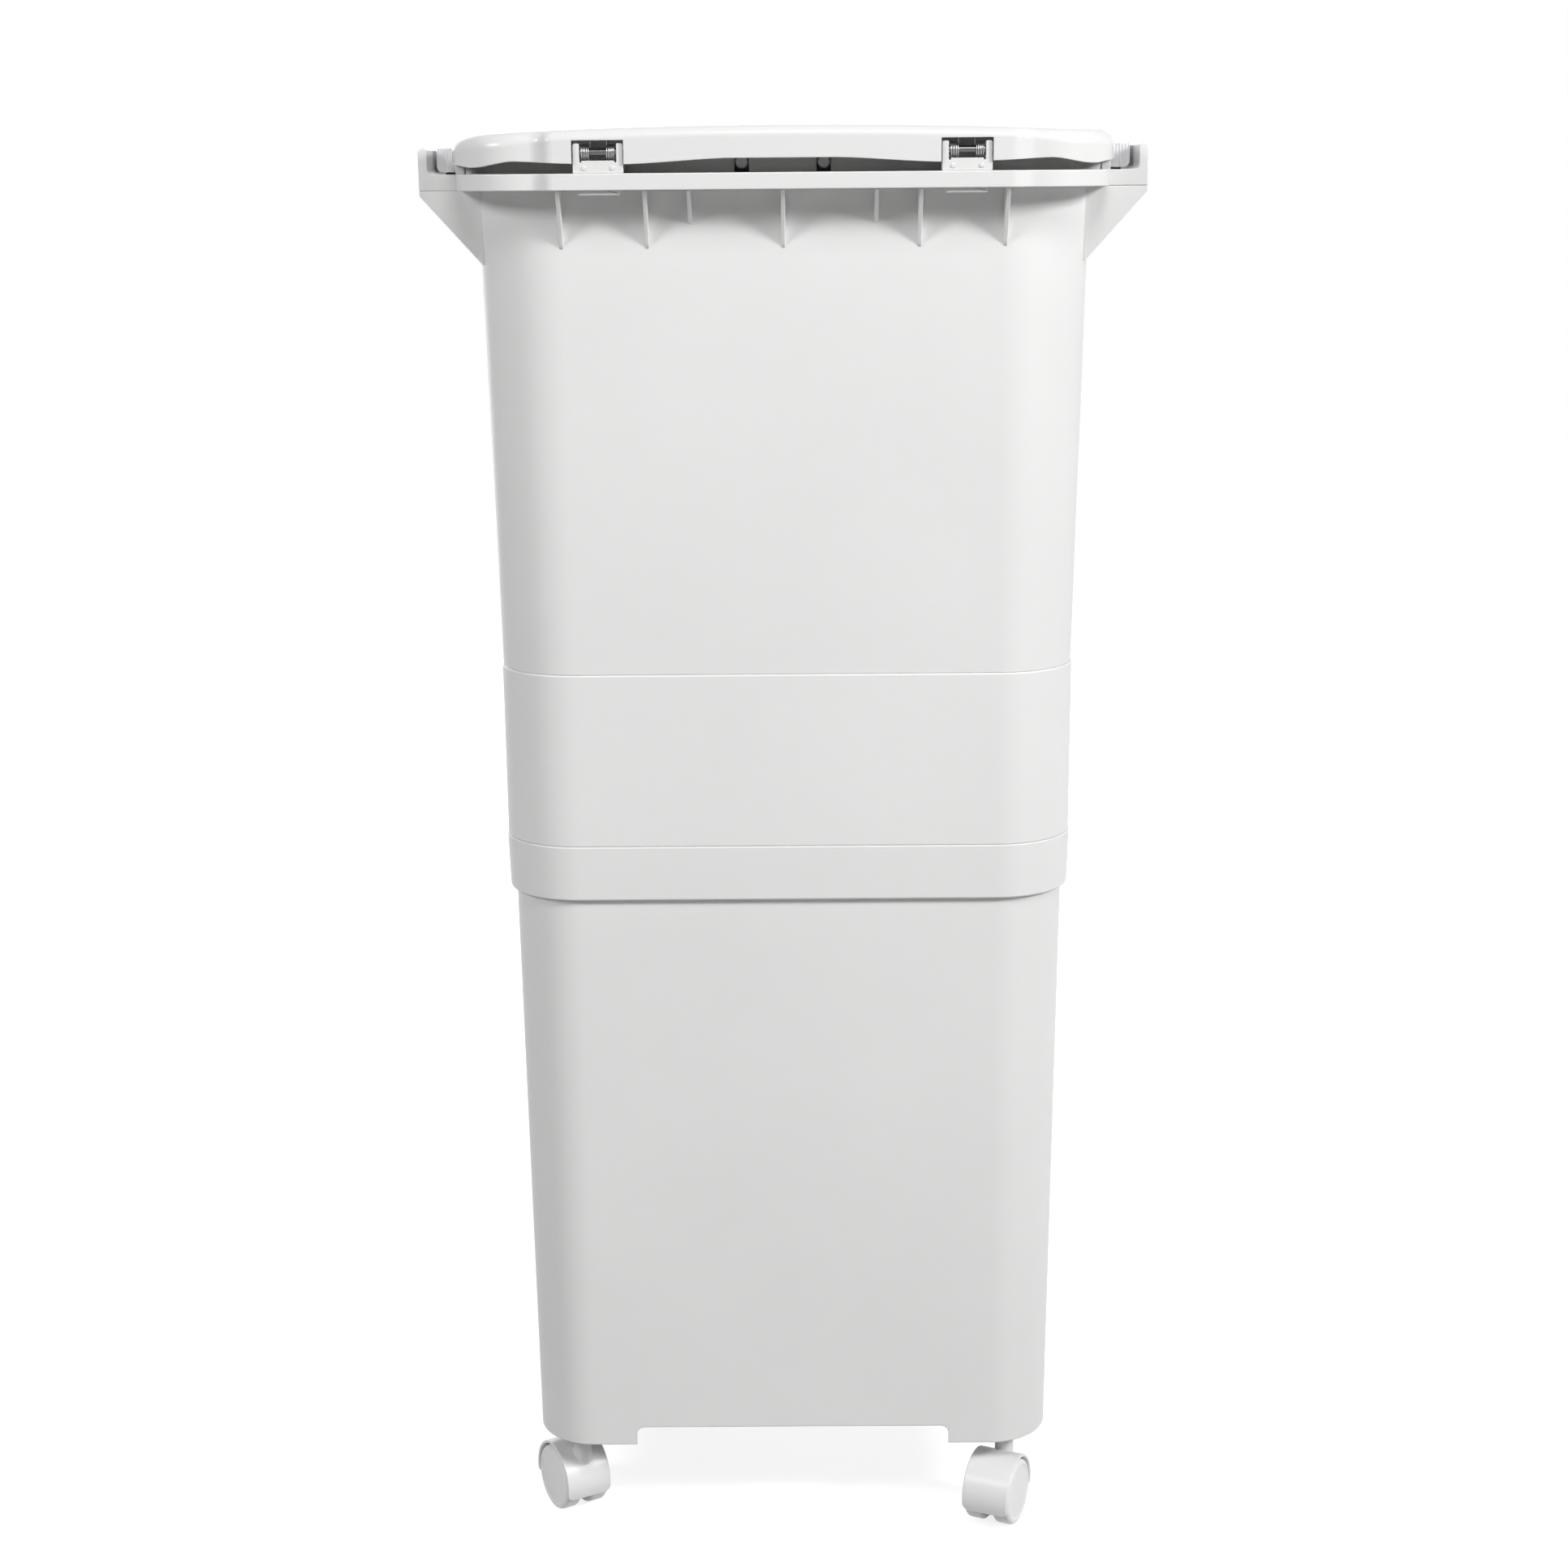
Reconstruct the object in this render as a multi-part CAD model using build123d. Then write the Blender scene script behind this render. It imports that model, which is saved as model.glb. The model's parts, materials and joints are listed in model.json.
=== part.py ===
from build123d import *
from math import atan2, cos, degrees, hypot, radians, sin, sqrt
import os

# Two-tier hamper on casters. Millimetres, +Z up, front towards -Y, origin on the floor under the middle.
# Left and right are as seen from the front, so right is +X.
# Plan outlines are concentric: an offset is counted outwards from the collar's top edge.

# Overall sizes
BODY_WIDTH = 330.0
BODY_DEPTH = 283.0
BODY_CORNER = 45.0
CASTER_HEADROOM = 17.0
LOWER_HEIGHT = 379.7
COLLAR_HEIGHT = 100.2
UPPER_HEIGHT = 267.3
WALL = 2.4
FLOOR = 2.6
NEST_CLEARANCE = 0.4
SEAT_GAP = 0.3

# Lower bin
LOWER_FOOT_OFFSET = -9.2
LOWER_MOUTH_OFFSET = -3.9
SKIRT = 15.0
NOTCH_WIDTH = 190.0
NOTCH_HEIGHT = 11.4
NOTCH_CORNER = 5.0
BAND_HEIGHT = 32.0
BAND_TOP_OFFSET = 0.2
BAND_FOOT_OFFSET = -0.8

# Middle collar
COLLAR_FOOT_OFFSET = -0.3
COLLAR_SPIGOT = 18.7
COLLAR_EDGE = 0.8

# Front flap in the collar
FLAP_WIDTH = 230.0
FLAP_FOOT = 15.3
FLAP_OPENING_HEIGHT = 70.0
FLAP_GAP = 0.6
BARREL_RADIUS = 4.0
BARREL_GAP = 0.5
FLAP_PIN_DIAMETER = 4.0
FLAP_PIN_LENGTH = 10.0
FLAP_LUG = 4.8
PULL_WIDTH = 96.0
PULL_REACH = 9.0
PULL_THICKNESS = 3.0

# Upper bin
UPPER_FOOT_OFFSET = -0.7
UPPER_MOUTH_OFFSET = 5.2
UPPER_SPIGOT = 16.0
GUSSET_THICKNESS = 2.2
GUSSET_REACH = 20.3
LONG_GUSSET = 32.3
SHORT_GUSSET = 19.5
LONG_GUSSET_PLACES = (0.0, 73.7, 120.2)
SHORT_GUSSET_PLACES = (50.2,)

# Top frame
FRAME_SIDE_OVERHANG = 8.0
FRAME_END_OVERHANG = 18.3
FRAME_CORNER = 40.0
REAR_STEP = 5.0
FRONT_STEP = 3.5
BLOCK_TOP = 120.5
BLOCK_FOOT = 130.0
BLOCK_BLEND = 12.0
FRAME_BAND = 8.8
FRAME_PLATE = 2.6
FRAME_LIP = 2.2
UPSTAND = 12.7
FRAME_SPIGOT = 10.0
REST_LUG = (5.0, 6.0)
REST_LUG_X = 175.5
REST_LUG_Y = 128.0

# Side handles
HANDLE_REACH = 30.3
HANDLE_LENGTH = 231.0
HANDLE_RISE = 14.0
HANDLE_FLOOR_RISE = 0.8
HANDLE_FLOOR = 3.0
HANDLE_POST = 7.0
HANDLE_END_WALL = 3.0
HANDLE_CORNER = 4.0
HANDLE_FILLET = 3.0
HANDLE_DROP = 2.8
HANDLE_FOOT_DROP = 36.5
HANDLE_PLATE = 3.0
HANDLE_PLATE_INSET = 0.4
HANDLE_INNER_PLATE_Y = 60.0
GRIP_SETBACK = 24.0
GRIP_RIB_PITCH = 1.7
GRIP_RIB_DEPTH = 0.7

# Lid
LID_SIDE_MARGIN = 1.8
LID_HANDLE_GAP = 1.2
LID_WALL = 2.5
LID_FOOT_RISE = 3.5
LID_CROWN_RISE = 24.7
LID_CROWN_RADIUS = 3600.0
LID_EDGE_RADIUS = 8.0
WAVE_CENTRE = (30.0, 3.9)
WAVE_HINGE_INNER = (82.0, 1.1)
WAVE_HINGE_OUTER = (112.0, 1.5)
WAVE_SIDE = (142.0, 3.0)
WAVE_CORNER = (167.0, 0.0)
LID_SIDE_RISE = 2.1

# Hinges
HINGE_X = 97.8
HINGE_RISE = 10.8
HINGE_INSET = 5.5
HINGE_CUT_WIDTH = 27.5
HINGE_CUT_RISE = 17.0
BRACKET_WIDTH = 26.0
BRACKET_ARM = 4.0
BRACKET_REAR_INSET = 1.5
BRACKET_DEPTH = 11.0
BRACKET_BASE = 5.6
BRACKET_TOP_RISE = 14.3
BRACKET_CORNER = 3.0
TONGUE_WIDTH = 22.0
TONGUE_DEPTH = 4.0
TONGUE_HOOK_WIDTH = 26.0
TONGUE_HOOK = 3.2
PIN_DIAMETER = 4.4
RUNNING_CLEARANCE = 0.05
LID_LUG = 3.2
LID_LUG_RADIUS = 5.0
WIRE = 0.6
COIL_DIAMETER = 8.5
COIL_PITCH = 1.05
COIL_TURNS = 4
COIL_ARM_GAP = 0.5

# Bag pegs
PEG_X = 22.1
PEG_DIAMETER = 6.0
PEG_REACH = 5.0
PEG_RISE = 7.2
PEG_PLATE = (12.0, 2.0, 10.0)
PEG_NOTCH_WIDTH = 7.4

# Latch button
BUTTON_WIDTH = 51.0
BUTTON_HEIGHT = 21.0
BUTTON_PROUD = 1.5
BUTTON_GAP = 0.5
BUTTON_CORNER = 4.0
BUTTON_FLANGE = 2.0
BUTTON_FLANGE_MARGIN = 2.5
BUTTON_TRAVEL = 4.0
BUTTON_DROP = 19.8
HOUSING_WIDTH = 76.0
HOUSING_HEIGHT = 36.0
HOUSING_WALL = 2.5
LATCH_WIDTH = 16.0
LATCH_SETBACK = 11.5
LATCH_ARM = 2.5
LATCH_NOSE = 2.5
LATCH_RISE = 11.0
LATCH_CLEAR = 0.5
CATCH_RISE = 6.8
CATCH_THICKNESS = 2.4
SPRING_POST = 3.0
SPRING_POST_LENGTH = 6.0
BUTTON_SPRING_DIAMETER = 8.0
BUTTON_SPRING_WIRE = 0.8
BUTTON_SPRING_TURNS = 4

# Casters
CASTER_X = 131.0
CASTER_Y = 107.0
CASTER_TRAIL = 13.0
CASTER_HEADINGS = {"rear_right": -60.0, "rear_left": 66.0, "front_right": -105.0, "front_left": 118.0}
WHEEL_DIAMETER = 40.0
WHEEL_WIDTH = 9.8
WHEEL_EDGE = 1.6
WHEEL_RIM = 2.0
WHEEL_DISH = 0.5
WHEEL_HUB = 12.0
WHEEL_GAP = 0.8
HOOD_CLEARANCE = 1.2
HOOD_THICKNESS = 1.8
HOOD_WIDTH = 26.0
HOOD_LOW_ANGLE = -46.0
HOOD_CORNER = 4.0
HOOD_WEB = 5.0
AXLE_DIAMETER = 5.0
AXLE_LENGTH = 22.0
NECK_DIAMETER = 11.5
NECK_GAP = 2.0
STEM_DIAMETER = 7.0
STEM_IN_HOOD = 15.0
SOCKET_DIAMETER = 15.0
SOCKET_DEPTH = 24.0
SOCKET_RECESS = 1.0

# Levels worked out from the sizes above
lower_foot = WHEEL_DIAMETER + CASTER_HEADROOM
lower_floor = lower_foot + SKIRT
lower_top = lower_foot + LOWER_HEIGHT
collar_top = lower_top + COLLAR_HEIGHT
upper_top = collar_top + UPPER_HEIGHT
frame_top = upper_top + FRAME_BAND
plate_foot = frame_top - FRAME_PLATE
lid_foot = frame_top + LID_FOOT_RISE
lid_crown = frame_top + LID_CROWN_RISE
hinge_z = frame_top + HINGE_RISE
handle_top = frame_top + HANDLE_RISE
handle_floor = frame_top + HANDLE_FLOOR_RISE

# Plan places worked out from the sizes above
mouth_x = BODY_WIDTH / 2 + UPPER_MOUTH_OFFSET
mouth_y = BODY_DEPTH / 2 + UPPER_MOUTH_OFFSET
frame_x = mouth_x + FRAME_SIDE_OVERHANG
frame_y = mouth_y + FRAME_END_OVERHANG
rear_block = frame_y + REAR_STEP
front_block = frame_y + FRONT_STEP
lid_x = frame_x + LID_SIDE_MARGIN
handle_x = mouth_x + HANDLE_REACH
hinge_y = rear_block - HINGE_INSET
upstand_offset = UPPER_MOUTH_OFFSET - WALL - NEST_CLEARANCE


def plan(offset):
    """Rounded outline at an offset from the collar's top edge."""
    return RectangleRounded(BODY_WIDTH + 2 * offset, BODY_DEPTH + 2 * offset, BODY_CORNER + offset)


def drafted(low, low_offset, high, high_offset):
    """Solid between two concentric outlines at two levels."""
    height = high - low
    taper = degrees(atan2(low_offset - high_offset, height))
    return Pos(0, 0, low) * extrude(plan(low_offset), height, taper=taper)


def straight(low, high, offset):
    """Upright solid on one outline."""
    return Pos(0, 0, low) * extrude(plan(offset), high - low)


def lerp(first, second, share):
    """Value part of the way from the first to the second."""
    return first + (second - first) * share


def block(x_range, y_range, z_range):
    """Box between given limits."""
    size = [high - low for low, high in (x_range, y_range, z_range)]
    centre = [(high + low) / 2 for low, high in (x_range, y_range, z_range)]
    return Pos(*centre) * Box(*size)


def rod_x(radius, x_range, y, z):
    """Round bar along X."""
    length = x_range[1] - x_range[0]
    return Pos(sum(x_range) / 2, y, z) * Rot(0, 90, 0) * Cylinder(radius, length)


def rod_y(radius, x, y_range, z):
    """Round bar along Y."""
    length = y_range[1] - y_range[0]
    return Pos(x, sum(y_range) / 2, z) * Rot(90, 0, 0) * Cylinder(radius, length)


def rod_z(radius, x, y, z_range):
    """Round bar along Z."""
    length = z_range[1] - z_range[0]
    return Pos(x, y, sum(z_range) / 2) * Cylinder(radius, length)


def profile_along_y(points, y_range):
    """Polygon of (x, z) points drawn out along Y."""
    face = make_face(Polyline(*[(x, y_range[0], z) for x, z in points], close=True))
    return extrude(face, y_range[1] - y_range[0], dir=(0, 1, 0))


def profile_along_x(points, x_range):
    """Polygon of (y, z) points drawn out along X."""
    face = make_face(Polyline(*[(x_range[0], y, z) for y, z in points], close=True))
    return extrude(face, x_range[1] - x_range[0], dir=(1, 0, 0))


def rim_plan(side):
    """Frame or lid outline: rounded, with a shallow block in the middle of the front and the rear."""
    outline = RectangleRounded(2 * side, 2 * frame_y, FRAME_CORNER)
    rear = [(-BLOCK_FOOT, frame_y), (-BLOCK_TOP, rear_block)]
    rear += [(BLOCK_TOP, rear_block), (BLOCK_FOOT, frame_y)]
    front = [(BLOCK_FOOT, -frame_y), (BLOCK_TOP, -front_block)]
    front += [(-BLOCK_TOP, -front_block), (-BLOCK_FOOT, -frame_y)]
    outline += make_face(Polyline(*rear, *front, close=True))
    places = (BLOCK_TOP, BLOCK_FOOT)
    bends = [v for v in outline.vertices() if any(abs(abs(v.X) - place) < 0.01 for place in places)]
    return fillet(bends, BLOCK_BLEND)


def lid_side_foot(x):
    """Lower edge of the lid towards its sides, where it slopes up from the rear corner."""
    slope = LID_SIDE_RISE / (lid_x - WAVE_CORNER[0])
    return lid_foot + slope * max(abs(x) - WAVE_CORNER[0], 0)


def biarc(start, start_direction, end, end_direction):
    """Two arcs that join two points and keep the direction at each."""
    span = end - start
    along = span.dot(start_direction + end_direction)
    turn = 1 - start_direction.dot(end_direction)
    reach = (sqrt(along**2 + 2 * turn * span.dot(span)) - along) / (2 * turn)
    knot = (start + end + (start_direction - end_direction) * reach) * 0.5
    first = Edge.make_tangent_arc(start, start_direction, knot)
    second = Edge.make_tangent_arc(knot, first % 1, end)
    return [first, second]


def wound_wire(name, points, directions, ends, wire, turn_length):
    """One unbroken six-sided wire through half-turn points, with a straight end on each side."""
    edges = [Edge.make_line(ends[0], points[0])]
    for index in range(len(points) - 1):
        edges += biarc(points[index], directions[index], points[index + 1], directions[index + 1])
    edges.append(Edge.make_line(points[-1], ends[1]))
    path = Wire(edges)
    count = int(path.length / (wire / 2))
    places = [path @ (index / count) for index in range(count + 1)]
    apart = int(0.6 * turn_length / (wire / 2))
    least = min(
        (places[i] - places[j]).length for i in range(count + 1) for j in range(i + apart, count + 1)
    )
    print(f"{name}: wire length {path.length:.1f}, least gap to itself {least - wire:.2f}")
    return sweep(Plane(origin=path @ 0, z_dir=path % 0) * RegularPolygon(wire / 2, 6), path=path)


# Lower bin: tub, skirt under the floor, turned-down rim band and caster sockets
def make_lower_bin():
    body = drafted(lower_foot, LOWER_FOOT_OFFSET, lower_top, LOWER_MOUTH_OFFSET)
    band_foot = lower_top - BAND_HEIGHT
    band = drafted(band_foot, BAND_FOOT_OFFSET, lower_top, BAND_TOP_OFFSET)
    wall_at_band = lerp(LOWER_FOOT_OFFSET, LOWER_MOUTH_OFFSET, 1 - BAND_HEIGHT / LOWER_HEIGHT)
    hollow = straight(band_foot, lower_top - FLOOR, BAND_FOOT_OFFSET - WALL)
    hollow -= drafted(band_foot, wall_at_band, lower_top, LOWER_MOUTH_OFFSET)
    body += band
    body -= hollow
    floor_offset = lerp(LOWER_FOOT_OFFSET, LOWER_MOUTH_OFFSET, (SKIRT + FLOOR) / LOWER_HEIGHT)
    body -= drafted(lower_floor + FLOOR, floor_offset - WALL, lower_top, LOWER_MOUTH_OFFSET - WALL)
    body -= straight(lower_foot, lower_floor, LOWER_FOOT_OFFSET - WALL)
    notch_face = Plane.XZ * Pos(0, lower_foot) * Rectangle(NOTCH_WIDTH, 2 * NOTCH_HEIGHT)
    notch = extrude(fillet(notch_face.vertices(), NOTCH_CORNER), BODY_DEPTH, both=True)
    body -= notch
    for x, y in caster_places().values():
        socket_foot = lower_foot + SOCKET_RECESS
        socket_end = socket_foot + SOCKET_DEPTH
        body += rod_z(SOCKET_DIAMETER / 2, x, y, (socket_foot, socket_end + FLOOR))
        body -= rod_z(STEM_DIAMETER / 2, x, y, (socket_foot, socket_end))
    return body


# Middle collar: ring with a spigot in the lower bin, a flap opening and two pin lugs
def collar_wall():
    wall = drafted(lower_top, COLLAR_FOOT_OFFSET, collar_top, 0)
    return wall - drafted(lower_top, COLLAR_FOOT_OFFSET - WALL, collar_top, -WALL)


def collar_front(z):
    """Front face of the collar at a level."""
    return -(BODY_DEPTH / 2 + lerp(COLLAR_FOOT_OFFSET, 0, (z - lower_top) / COLLAR_HEIGHT))


flap_foot = lower_top + FLAP_FOOT
flap_axis_z = flap_foot + BARREL_GAP + BARREL_RADIUS
flap_axis_y = collar_front(flap_axis_z) + BARREL_RADIUS
flap_top = flap_foot + FLAP_OPENING_HEIGHT


def make_collar():
    spigot_offset = LOWER_MOUTH_OFFSET - WALL - NEST_CLEARANCE
    spigot_foot = lower_top - COLLAR_SPIGOT
    narrowing = (LOWER_MOUTH_OFFSET - LOWER_FOOT_OFFSET) * COLLAR_SPIGOT / LOWER_HEIGHT
    wall = drafted(lower_top, COLLAR_FOOT_OFFSET, collar_top, 0)
    wall = chamfer(wall.faces().sort_by(Axis.Z)[-1].edges(), COLLAR_EDGE)
    body = wall + drafted(spigot_foot, spigot_offset - narrowing, lower_top, spigot_offset)
    body -= drafted(lower_top + FLOOR, COLLAR_FOOT_OFFSET - WALL, collar_top, -WALL)
    body -= straight(spigot_foot, lower_top + FLOOR, spigot_offset - narrowing - WALL)
    half = FLAP_WIDTH / 2
    body -= block((-half, half), (-BODY_DEPTH, -BODY_DEPTH / 4), (flap_foot, flap_top))
    inner_face = collar_front(flap_axis_z) + WALL
    for side in (-1, 1):
        lug_x = sorted((side * half, side * (half + FLAP_LUG)))
        lug_y = (inner_face - WALL / 2, flap_axis_y + BARREL_RADIUS)
        body += block(lug_x, lug_y, (flap_foot, flap_axis_z + BARREL_RADIUS + BARREL_GAP))
        bore = FLAP_PIN_DIAMETER / 2 + RUNNING_CLEARANCE
        body -= rod_x(bore, lug_x, flap_axis_y, flap_axis_z)
    return body


# Front flap: panel flush with the collar, a barrel along its foot and a pull at its top
def make_flap():
    half = FLAP_WIDTH / 2 - FLAP_GAP
    window = block((-half, half), (-BODY_DEPTH, -BODY_DEPTH / 4), (flap_axis_z, flap_top - FLAP_GAP))
    panel = collar_wall() & window
    barrel = rod_x(BARREL_RADIUS, (-half, half), flap_axis_y, flap_axis_z)
    pull_z = flap_top - FLAP_GAP - PULL_THICKNESS / 2
    pull_face = Pos(0, collar_front(pull_z)) * SlotOverall(PULL_WIDTH, 2 * PULL_REACH)
    pull = Pos(0, 0, pull_z - PULL_THICKNESS / 2) * extrude(pull_face, PULL_THICKNESS)
    inside = collar_front(pull_z) + WALL / 2
    pull -= block((-PULL_WIDTH, PULL_WIDTH), (inside, inside + 2 * PULL_REACH), (0, flap_top))
    flap = panel + barrel + pull
    for side in (-1, 1):
        flap -= flap_pin(side)
    return flap


def flap_pin(side):
    """Steel pin, half in the flap's barrel and half in the collar's lug."""
    outer = FLAP_WIDTH / 2 + FLAP_LUG - SEAT_GAP
    span = sorted((side * (outer - FLAP_PIN_LENGTH), side * outer))
    return rod_x(FLAP_PIN_DIAMETER / 2, span, flap_axis_y, flap_axis_z)


# Upper bin: tub on a shoulder, with gussets under its rim and plates under the side handles
def upper_offset(z):
    """Outline offset of the upper bin's outer wall at a level."""
    return lerp(UPPER_FOOT_OFFSET, UPPER_MOUTH_OFFSET, (z - collar_top) / UPPER_HEIGHT)


def make_upper_bin():
    spigot_offset = -WALL - NEST_CLEARANCE
    spigot_foot = collar_top - UPPER_SPIGOT
    shoulder = collar_top + FLOOR
    body = drafted(collar_top, UPPER_FOOT_OFFSET, upper_top, UPPER_MOUTH_OFFSET)
    body += straight(spigot_foot, shoulder, spigot_offset)
    for place in LONG_GUSSET_PLACES:
        for x in {place, -place}:
            body += rear_gusset(x, LONG_GUSSET)
    for place in SHORT_GUSSET_PLACES:
        for x in {place, -place}:
            body += rear_gusset(x, SHORT_GUSSET)
    for side in (-1, 1):
        for y in handle_plate_places():
            body += handle_plate(side, y)
    body -= drafted(shoulder, upper_offset(shoulder) - WALL, upper_top, UPPER_MOUTH_OFFSET - WALL)
    body -= straight(spigot_foot + FLOOR, shoulder, spigot_offset - WALL)
    return body


def rear_gusset(x, height):
    """Thin triangle between the rear wall and the rim band."""
    root = mouth_y - WALL
    outline = [(root, upper_top), (mouth_y + GUSSET_REACH, upper_top), (mouth_y, upper_top - height)]
    outline.append((root, upper_top - height))
    return profile_along_x(outline, (x - GUSSET_THICKNESS / 2, x + GUSSET_THICKNESS / 2))


def handle_plate_places():
    """Rear edges of the plates under one side handle."""
    end = HANDLE_LENGTH / 2 - HANDLE_PLATE_INSET
    inner = HANDLE_INNER_PLATE_Y + HANDLE_PLATE / 2
    return (end, inner, HANDLE_PLATE - inner, HANDLE_PLATE - end)


def handle_plate(side, rear):
    """Sloping plate that carries a side handle."""
    root = mouth_x - BODY_CORNER / 2
    outline = [(root, upper_top), (handle_x, upper_top), (handle_x, upper_top - HANDLE_DROP)]
    outline += [(mouth_x, upper_top - HANDLE_FOOT_DROP), (root, upper_top - HANDLE_FOOT_DROP)]
    return profile_along_y([(side * x, z) for x, z in outline], (rear - HANDLE_PLATE, rear))


# Top frame: rim band, upstand, side handles, hinge seats and button housing
def make_frame():
    outline = rim_plan(frame_x)
    body = Pos(0, 0, upper_top) * extrude(outline, FRAME_BAND)
    under = Pos(0, 0, upper_top) * extrude(offset(outline, -FRAME_LIP), FRAME_BAND - FRAME_PLATE)
    body -= under
    spigot_foot = upper_top - FRAME_SPIGOT
    body += straight(spigot_foot, frame_top + UPSTAND, upstand_offset)
    half = HANDLE_LENGTH / 2
    hand = half - HANDLE_END_WALL
    post = handle_x - HANDLE_POST
    for side in (-1, 1):
        body -= block(sorted((side * mouth_x, side * post)), (-hand, hand), (upper_top, plate_foot))
        body += side_handle(side)
    body += button_housing()
    body -= latch_slot()
    body -= straight(spigot_foot, frame_top + UPSTAND, upstand_offset - WALL)
    for x in (-HINGE_X, HINGE_X):
        body -= bracket_tongue(x)
    notch_foot = frame_top + PEG_RISE - PEG_NOTCH_WIDTH / 2
    for x in (-PEG_X, PEG_X):
        notch_x = (x - PEG_NOTCH_WIDTH / 2, x + PEG_NOTCH_WIDTH / 2)
        body -= block(notch_x, (0, mouth_y), (notch_foot, frame_top + UPSTAND))
    for x in (-REST_LUG_X, REST_LUG_X):
        for y in (-REST_LUG_Y, REST_LUG_Y):
            lug_x = (x - REST_LUG[0] / 2, x + REST_LUG[0] / 2)
            lug_y = (y - REST_LUG[1] / 2, y + REST_LUG[1] / 2)
            body += block(lug_x, lug_y, (plate_foot, lid_side_foot(REST_LUG_X) - SEAT_GAP))
    return body


def side_handle(side):
    """Channel-shaped handle with closed ends and an open finger space below."""
    half = HANDLE_LENGTH / 2
    root = frame_x - FRAME_LIP
    inner = lid_x + LID_HANDLE_GAP
    post = handle_x - HANDLE_POST
    top = [(handle_x, handle_top), (post, handle_top), (post, handle_floor), (inner, handle_floor)]
    top += [(inner, frame_top), (root, frame_top)]
    under = handle_floor - HANDLE_FLOOR
    rise = under - plate_foot
    hollow = [(root, plate_foot), (inner, plate_foot), (inner + rise, under)]
    hollow += [(post, under), (post, upper_top), (handle_x, upper_top)]
    solid = profile_along_y([(side * x, z) for x, z in hollow + top], (-half, half))
    for low, high in ((-half, HANDLE_END_WALL - half), (half - HANDLE_END_WALL, half)):
        filled = [(mouth_x, upper_top), (handle_x, upper_top)] + top[:-1] + [(mouth_x, frame_top)]
        solid += profile_along_y([(side * x, z) for x, z in filled], (low, high))
    edges = solid.edges().filter_by(Axis.Y)
    crest = [e for e in edges if hypot(abs(e.center().X) - handle_x, e.center().Z - handle_top) < 0.01]
    solid = fillet(crest, HANDLE_CORNER)
    edges = solid.edges().filter_by(Axis.Y)
    valley = [e for e in edges if hypot(abs(e.center().X) - post, e.center().Z - handle_floor) < 0.01]
    return fillet(valley, HANDLE_FILLET)


# Grips: ribbed inserts that lie in the handle channels
def make_grip(side):
    inner = lid_x + LID_HANDLE_GAP
    post = handle_x - HANDLE_POST - SEAT_GAP
    half = HANDLE_LENGTH / 2 - GRIP_SETBACK
    low = handle_floor + SEAT_GAP
    grip = block(sorted((side * inner, side * post)), (-half, half), (low, handle_top))
    foot = [e for e in grip.edges().filter_by(Axis.Y) if abs(e.center().Z - low) < 0.01]
    grip = fillet([e for e in foot if abs(abs(e.center().X) - post) < 0.01], HANDLE_FILLET)
    ribs = int((post - inner) / GRIP_RIB_PITCH)
    for rib in range(ribs):
        x = side * (inner + GRIP_RIB_PITCH * (rib + 0.5))
        groove_x = (x - GRIP_RIB_PITCH / 4, x + GRIP_RIB_PITCH / 4)
        for end in (-half, half):
            depth = (end - GRIP_RIB_DEPTH, end + GRIP_RIB_DEPTH)
            grip -= block(groove_x, depth, (low, handle_top))
    return grip


# Lid: crowned shell with a waved rear edge, hinge cut-outs and a front catch
def crowned(outline, crown, crown_radius):
    """Outline drawn up to a crown that arches from side to side."""
    tall = Pos(0, 0, lid_foot) * extrude(outline, crown - lid_foot)
    return tall & rod_y(crown_radius, 0, (-2 * frame_y, 2 * frame_y), crown - crown_radius)


def waved_cut():
    """Cut along the foot of the lid's rear wall, level at each named place."""
    right = [WAVE_CENTRE, WAVE_HINGE_INNER, WAVE_HINGE_OUTER, WAVE_SIDE, WAVE_CORNER]
    left = [(-x, rise) for x, rise in reversed(right)]
    stations = [Vector(x, hinge_y, lid_foot + rise) for x, rise in left + right]
    edges = []
    for start, end in zip(stations, stations[1:]):
        if abs(start.Z - end.Z) < 0.01:
            edges.append(Edge.make_line(start, end))
            continue
        middle = (start + end) * 0.5
        edges.append(Edge.make_tangent_arc(start, Vector(1, 0, 0), middle))
        edges.append(Edge.make_tangent_arc(middle, edges[-1] % 1, end))
    below = [Vector(v.X, v.Y, frame_top) for v in (stations[-1], stations[0])]
    edges.append(Edge.make_line(stations[-1], below[0]))
    edges.append(Edge.make_line(below[0], below[1]))
    edges.append(Edge.make_line(below[1], stations[0]))
    reach = REAR_STEP + BODY_CORNER
    return extrude(Face(Wire(edges)), reach, dir=(0, 1, 0), both=True)


def side_cut(side):
    """Cut along the foot of one side wall, from front to rear."""
    inner, outer = WAVE_CORNER[0], lid_x + LID_WALL
    outline = [(inner, frame_top), (outer, frame_top), (outer, lid_side_foot(outer)), (inner, lid_foot)]
    return profile_along_y([(side * x, z) for x, z in outline], (-2 * frame_y, 2 * frame_y))


def lid_lug(x):
    """Ear beside a hinge cut-out that holds one end of the pin."""
    span = (x - LID_LUG / 2, x + LID_LUG / 2)
    web = block(span, (hinge_y - LID_LUG_RADIUS, hinge_y + LID_LUG_RADIUS), (hinge_z, lid_crown))
    return web + rod_x(LID_LUG_RADIUS, span, hinge_y, hinge_z)


def lid_catch():
    """Ledge inside the lid's front wall, just clear of the latch nose."""
    foot = frame_top + CATCH_RISE - CATCH_THICKNESS
    half = LATCH_WIDTH / 2
    reach = (-front_block, latch_front() - LATCH_CLEAR)
    return block((-half, half), reach, (foot, foot + CATCH_THICKNESS))


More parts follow.
